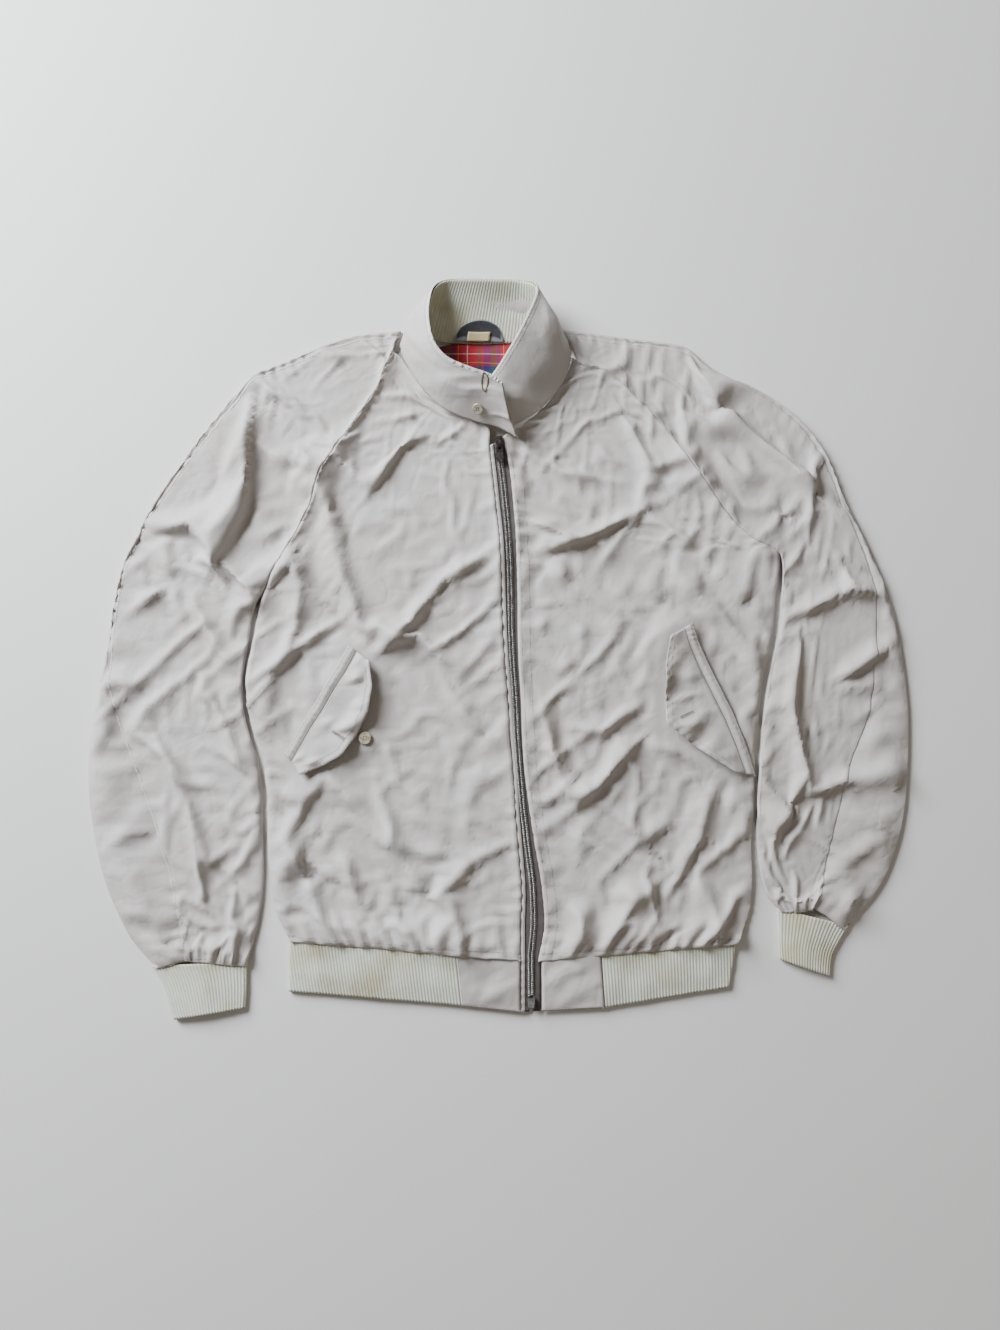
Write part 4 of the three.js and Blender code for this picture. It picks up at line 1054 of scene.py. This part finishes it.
shell_cad = face_grid("collar_shell", BAND_WALL, 5, surface_area, mean_x, mean_z)
collar = refined(shell_cad, 9, 8)
BAND_UNDERLAP = 15  # the collar's left band runs this far on under the right one
way = level_way(collar[3], collar[0])
underlap = np.stack([collar[0] + way * (BAND_UNDERLAP * share * MM) - np.array((0, 0, 2.5 * share * MM))
                     for share in (1.0, 0.75, 0.5, 0.25)])
underlap[..., 2] = np.maximum(underlap[..., 2], 9 * MM)
collar = np.concatenate([underlap, collar])
collar_facing_way = normals(collar)
middle = collar.reshape(-1, 3).mean(axis=0)
if (collar_facing_way * (collar - middle)).sum() < 0:
    collar_facing_way = -collar_facing_way
along, across = measured(collar)
collar_button_spot = np.array([box_middle("collar_button")])
calm = np.clip(distance_to(collar, collar_button_spot) / 10 - 0.8, 0, 1)
inside = np.sin(np.pi * across / across[:, -1:])
relief = calm * inside * (2.6 * noise(along, across, 34, 160) + 1.8 * noise(along, across, 15, 161, 0.9, 2))
relief += calm * inside * 2.0 * np.clip(1 - 3 * np.abs(noise(along, across, 20, 164, 0.5, 3)), 0, 1)
relief += calm * puckers(along, across, 7, 0.7, 8, 162)
relief += calm * puckers(along, across[:, -1:] - across, 4, 0.35, 5, 163)
collar = collar + collar_facing_way * relief[..., None] * MM
turned_piece("collar_shell", "cloth", collar, collar_facing_way, 0.7, CLOTH)

facing_cad = face_grid("collar_facing", BAND_WALL, 5, lambda grid: -surface_area(grid), mean_x, mean_z)
facing_grid = refined(facing_cad, 4, 5).transpose(1, 0, 2)
fine, facing_way, wave = ribbed(facing_grid, lambda grid: middle - grid)
across, along = measured(fine)
relief = 0.5 * (wave - 1) + np.sin(np.pi * across / across[-1:]) * 0.9 * noise(along, across, 22, 170)
fine = fine + facing_way * relief[..., None] * MM
turned_piece("collar_facing", "knit", fine, facing_way, 0.8, KNIT)

NECK_MIDDLE = -14
LINING_SHARE = 0.83  # of the frame's width, so that the lining stays inside the collar
LINING_REACH = 7  # the lining runs this far up to the collar's seam
LINING_LOWEST = 243  # below this the collar hides the lining, so it stops here
lining = refined(face_grid("neck_lining", THIN_WALL, 7, mean_z, mean_y, mean_x), 7, 7)
lining = lining[lining[..., 1].mean(axis=1) > LINING_LOWEST * MM]
x, y = plan(lining)
inner = np.clip(distance_to(lining, np.concatenate([lining[0], lining[-1]])) / 8, 0, 1)
lining[..., 2] += inner * (1.3 * noise(x, y, 18, 180, 0.8, 1.8) + 0.5) * MM
top_row = lining[-1:].copy()
from_middle = np.abs(np.linspace(-1, 1, top_row.shape[1]))
top_row[..., 1] += LINING_REACH * MM * np.clip(2 - 2.4 * from_middle, 0.02, 1)
top_row[..., 2] += 0.5 * MM
lining = np.concatenate([lining, top_row])
lining[..., 0] = NECK_MIDDLE * MM + (lining[..., 0] - NECK_MIDDLE * MM) * LINING_SHARE
cloth_piece("neck_lining", lining, CHECK, 0.6)


def with_rim_highlight(obj, value):
    """Stores the painted highlight of each point of a label's face, and the same again for its underside."""
    attribute = obj.data.attributes.new("rim", "FLOAT", "POINT")
    values = np.resize(value.ravel(), len(obj.data.vertices))
    attribute.data.foreach_set("value", values.astype(np.float32))


label_pieces = []
for node, columns, material, slot, below in (
        ("neck_label", 4, LABEL, "label", "collar_facing_knit"),
        ("size_tag", 2, TAG, "tag", "neck_label_cloth")):
    grid = face_grid(node, LABEL_WALL, columns, lambda g: mean_z(g) - mean_y(g), mean_x, mean_y)
    grid = refined(grid, 5, 5)
    rows, across = np.indices(grid.shape[:2])
    u = rows / (len(grid) - 1)
    v = across / (grid.shape[1] - 1)
    # edge and corner mark a painted highlight: lighter along three edges and at two corners
    edge = np.clip(1 - np.minimum(1 - v, np.minimum(u, 1 - u)) * 14, 0, 1)
    corner = np.clip(3 - v * 9, 0, 1) * np.clip(np.abs(u - 0.5) * 9 - 1.6, 0, 1)
    light = np.maximum(edge, 0.55 * corner)
    label_pieces.append(cloth_piece(node, grid, material, 0.5, (0, -0.7, 0.7)))
    with_rim_highlight(label_pieces[-1], light)


# ---- zip ----
zip_lines = {}
for node, material, slot, relief_height in (
        ("front_facing_right", CLOTH, "shell_cloth", 0.35),
        ("zip_tape_right", TAPE, "zip_tape", 0.15),
        ("zip_tape_left", TAPE, "zip_tape", 0.15)):
    grid = refined(face_grid(node, THIN_WALL, 2, mean_z, mean_y, mean_x), 7, 3)
    along, across = measured(grid)
    grid[..., 2] += puckers(along, across, 8, relief_height, 9, 190) * MM
    zip_lines[node] = grid
    cloth_piece(node, grid, material, 0.5)


def resampled(path, pitch):
    """A polyline again with points `pitch` mm apart."""
    path = np.asarray(path, float)
    reach = np.insert(np.cumsum(np.linalg.norm(np.diff(path, axis=0), axis=1)), 0, 0)
    places = np.arange(0, reach[-1], pitch * MM)
    return np.stack([np.interp(places, reach, path[:, axis]) for axis in range(3)], axis=1)


def joined_blocks(name, shape, faces, centres, alongs, ups, sizes, material, slot):
    """Many copies of one small shape, each turned and sized, as one mesh."""
    alongs = unit(alongs)
    acrosses = unit(np.cross(ups, alongs))
    ups = np.cross(alongs, acrosses)
    sizes = np.broadcast_to(sizes, (len(centres), 3)) * MM
    points = (centres[:, None]
              + shape[None, :, 0:1] * (alongs * sizes[:, 0:1])[:, None]
              + shape[None, :, 1:2] * (acrosses * sizes[:, 1:2])[:, None]
              + shape[None, :, 2:3] * (ups * sizes[:, 2:3])[:, None])
    count = len(shape)
    all_faces = [[v + i * count for v in face] for i in range(len(centres)) for face in faces]
    mesh = bpy.data.meshes.new(name)
    mesh.from_pydata(points.reshape(-1, 3).tolist(), [], all_faces)
    obj = link(bpy.data.objects.new(name, mesh))
    mesh.update()
    return finish_piece(obj, material)


def bead_shape(sections=((-1, 0.25), (-0.7, 0.8), (0, 1), (0.7, 0.8), (1, 0.25)), sides=6):
    """A thread bead of length 2 along X: rings of points, closed at both ends."""
    points, faces = [], []
    for place, width in sections:
        for k in range(sides):
            angle = 2 * math.pi * k / sides
            points.append((place, width * math.cos(angle), width * math.sin(angle)))
    for ring in range(len(sections) - 1):
        for k in range(sides):
            a, b = ring * sides + k, ring * sides + (k + 1) % sides
            faces.append((a, b, b + sides, a + sides))
    faces.append(tuple(range(sides))[::-1])
    faces.append(tuple(range(len(points) - sides, len(points))))
    return np.array(points), faces


BEAD = bead_shape()
UP = np.array((0.0, 0.0, 1.0))


FINE_STITCH = dict(pitch=2.6, length=2.1)
SEAM_STITCH = dict(pitch=2.4, length=1.9)


def thread_row(name, lines, material, pitch=3.0, length=2.3, width=0.5, across=False):
    """Rows of stitches along polylines, or across them; a line may come with the ways it faces."""
    centres, alongs, ups = [], [], []
    for line in lines:
        path, facing = line if isinstance(line, tuple) else (line, None)
        points = resampled(path, pitch)
        ways = np.gradient(points, axis=0)
        if facing is None:
            up = np.broadcast_to(UP, points.shape)
        else:
            reach = np.linspace(0, 1, len(facing))
            spots = np.linspace(0, 1, len(points))
            up = np.stack([np.interp(spots, reach, facing[:, axis]) for axis in range(3)], axis=1)
        centres.append(points)
        alongs.append(np.cross(up, ways) if across else ways)
        ups.append(up)
    return joined_blocks(name, *BEAD, *map(np.concatenate, (centres, alongs, ups)),
                         (length / 2, width / 2, width / 2), material, "shell_cloth")


def inset(grid, distance, rise=0.1):
    """The line `distance` mm in from column 0, a little above the cloth."""
    reach = lengths_along(grid, 1) / MM
    line = np.stack([[np.interp(distance, reach[i], grid[i, :, axis]) for axis in range(3)]
                     for i in range(len(grid))])
    line[:, 2] += rise * MM
    return line


right_tape, left_tape = zip_lines["zip_tape_right"], zip_lines["zip_tape_left"]
zip_middle = (right_tape[:, -1] + left_tape[:, 0]) / 2
slider_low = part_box("zip_slider")[0][1]
box_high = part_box("zip_box")[1][1]
zip_middle = zip_middle[(zip_middle[:, 1] < slider_low - 1 * MM) & (zip_middle[:, 1] > box_high)]
TOOTH_PITCH = 1.7
TOOTH_SECTIONS = ((-1, 0.75), (-0.8, 1), (0.8, 1), (1, 0.75))
TOOTH = bead_shape(TOOTH_SECTIONS, 4)
for side, sign in SIDES.items():
    teeth = resampled(zip_middle, TOOTH_PITCH)
    ways = unit(np.gradient(teeth, axis=0))
    acrosses = np.cross(ways, UP)
    shift = 1.6 if sign > 0 else -1.6
    centres = teeth + acrosses * shift * MM * np.sign(acrosses[:, :1]) + UP * 0.5 * MM
    if sign > 0:
        centres = centres + ways * TOOTH_PITCH / 2 * MM
    joined_blocks(f"zip_teeth_{side}", *TOOTH, centres, acrosses, np.broadcast_to(UP, centres.shape),
                  (1.35, 0.6, 0.9), TEETH_METAL, "zip_metal")


# ---- stitching ----
EDGE_SKIP = 3  # columns that a rounded edge adds

for side in SIDES:
    front, sleeve = top_grids["front_" + side], top_grids[f"sleeve_{side}_front"]
    plain_front, plain_sleeve = front[:, EDGE_SKIP:-EDGE_SKIP], sleeve[:, EDGE_SKIP:-EDGE_SKIP]
    edge = refined(front_cad[side], FRONT_ROW_STEPS, 1)[:, 0]
    sewn = free_share(plain_sleeve[:, 0], edge) < 0.5
    lines = [inset(plain_sleeve, 1.6)[sewn], inset(plain_sleeve[:, ::-1], 1.8)]
    thread_row(f"sleeve_stitching_{side}", lines, THREAD)
    cuff_lines = [inset(plain_sleeve[::-1].transpose(1, 0, 2), distance) for distance in (1.2, 4.2)]
    thread_row(f"cuff_seam_stitching_{side}", cuff_lines, THREAD, **SEAM_STITCH)
    centre_lines = [inset(plain_front[:, ::-1], 1.4)]
    if side == "left":
        centre_lines.append(inset(plain_front[:, ::-1], 9.5)[:14 * FRONT_ROW_STEPS])
    tab = top_grids["hem_tab_" + side][:, :-EDGE_SKIP]
    centre_lines += [inset(tab[:, ::-1], 1.4), inset(tab, 1.5), inset(tab[::-1].transpose(1, 0, 2), 1.5)]
    thread_row(f"front_stitching_{side}", centre_lines, THREAD)
    hem_line = inset(plain_front.transpose(1, 0, 2), 1.2)
    thread_row(f"hem_seam_stitching_{side}", [hem_line], THREAD, **SEAM_STITCH)
    welt, flap = top_grids["pocket_welt_" + side], top_grids["pocket_flap_" + side][:, :-EDGE_SKIP]
    pocket = [inset(welt, 1.0), inset(welt[:, ::-1], 1.0), inset(flap, 0.8)]
    pocket += [inset(flap[:, ::-1], 1.5), inset(flap[:, ::-1], 7.0)[3:-3]]
    thread_row(f"pocket_stitching_{side}", pocket, THREAD, **FINE_STITCH)

thread_row("facing_stitching", [inset(zip_lines["front_facing_right"], 2.2)], THREAD, pitch=2.6, length=2.0)

rim_line = collar[:, -1] + collar_facing_way[:, -1] * -0.3 * MM
rim_ups = collar_facing_way[:, -1]
rim_line += 0.2 * unit(collar[:, -1] - collar[:, -2]) * MM
thread_row("collar_overlock", [(rim_line, rim_ups)], RIM_THREAD,
           pitch=1.0, length=3.4, width=1.5, across=True)
collar_lines = []
for band, distance, column in ((collar[:, ::-1], 3.2, -3), (collar, 1.8, 1)):
    ups = collar_facing_way[:, column]
    collar_lines.append((inset(band, distance, 0) + ups * 0.1 * MM, ups))
thread_row("collar_stitching", collar_lines, THREAD, **FINE_STITCH)


# ---- buttonholes, thread loop and buttons ----
def surface_of(name):
    mesh = bpy.data.objects[name].data
    return BVHTree.FromPolygons([v.co[:] for v in mesh.vertices], [p.vertices[:] for p in mesh.polygons])


def dropped(surface, x, y, rise=0.15):
    """The place `rise` mm off a surface under plan point x, y (mm)."""
    place, facing = surface.ray_cast(Vector((x * MM, y * MM, 0.2)), Vector((0, 0, -1)))[:2]
    return np.array(place + facing * rise * MM)


BUTTONHOLES = {"right": ((-161, -88), (-146, -98)), "left": ((174, -75), (187, -69))}
for side, (start, end) in BUTTONHOLES.items():
    surface = surface_of(f"pocket_flap_{side}_cloth")
    start, end = np.array(start, float), np.array(end, float)
    way = (end - start) / np.linalg.norm(end - start)
    beside = np.array((-way[1], way[0]))
    lines = []
    for offset in (-0.9, 0.9):
        spots = [start + way * step + beside * offset for step in np.arange(0, 15.5, 0.5)]
        lines.append(np.array([dropped(surface, *spot) for spot in spots]))
    thread_row(f"buttonhole_{side}", lines, THREAD, pitch=0.55, length=1.5, width=0.5, across=True)
    # a row of dark thread down the slit's middle: painted shade in the cut opening
    slit_shade_line = np.array([dropped(surface, *(start + way * step), 0.05) for step in np.arange(0.6, 14.6, 0.5)])
    thread_row(f"buttonhole_slit_shade_{side}", [slit_shade_line], DARK_THREAD, pitch=0.6, length=1.2, width=0.5)


def cord_object(name, path, radius, material):
    """A thread or cord as a tube mesh along a list of points."""
    curve = bpy.data.curves.new(name, "CURVE")
    curve.dimensions = "3D"
    curve.bevel_depth = radius * MM
    curve.bevel_resolution = 2
    curve.use_fill_caps = True
    spline = curve.splines.new("NURBS")
    spline.points.add(len(path) - 1)
    for point, place in zip(spline.points, path):
        point.co = (*place, 1)
    spline.use_endpoint_u = True
    spline.order_u = 4
    source = link(bpy.data.objects.new(name + "_curve", curve))
    graph = bpy.context.evaluated_depsgraph_get()
    mesh = bpy.data.meshes.new_from_object(source.evaluated_get(graph))
    bpy.data.objects.remove(source)
    return finish_piece(link(bpy.data.objects.new(name, mesh)), material)


collar_surface = surface_of("collar_shell_cloth")
LOOP_MIDDLE = (-14.5, 250.0, 36.0)
LOOP_HALF = (3.0, 9.5)
loop = []
for angle in np.radians(np.arange(80, 461, 20)):
    x = LOOP_MIDDLE[0] + LOOP_HALF[0] * math.cos(angle)
    y = LOOP_MIDDLE[1] + LOOP_HALF[1] * math.sin(angle)
    place = collar_surface.find_nearest(Vector((x, y, LOOP_MIDDLE[2])) * MM)[0]
    loop.append(place + Vector((0, 0, 0.9 * MM)))
cord_object("collar_loop", loop, 0.75, LOOP_THREAD)


def button_frame(node):
    """Middle of a button's upper face, the way it faces, and one way across it."""
    points = np.array([v.co[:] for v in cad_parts[node].data.vertices])
    centre = (points.max(axis=0) + points.min(axis=0)) / 2
    facing = np.linalg.svd(points - points.mean(axis=0))[2][2]
    facing *= np.sign(facing[2])
    across = np.cross(facing, (0.0, 1.0, 0.0))
    across /= np.linalg.norm(across)
    top = centre + facing * ((points - centre) @ facing).max()
    return top, facing, across


HOLE_OFFSET = 1.55
for node in ("pocket_button", "collar_button"):
    top, facing, across = button_frame(node)
    other = np.cross(facing, across)
    bars = []
    for sign in (-1, 1):
        beside = across * sign * HOLE_OFFSET * 0.7
        ends = [top + (beside + other * end * HOLE_OFFSET * 0.9 - facing * 0.1) * MM
                for end in np.linspace(-1, 1, 4)]
        bars.append((np.array(ends), np.broadcast_to(facing, (4, 3))))
    thread_row(node + "_thread", bars, DARK_THREAD, pitch=0.9, length=1.2, width=0.7)


# ---- finishes of the frame's own hard pieces ----
for node, material in (
        ("zip_slider", DARK_METAL), ("zip_pull", DARK_METAL), ("zip_box", PALE_METAL),
        ("pocket_button", HORN), ("collar_button", HORN)):
    for slot_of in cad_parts[node].material_slots:
        slot_of.material = material
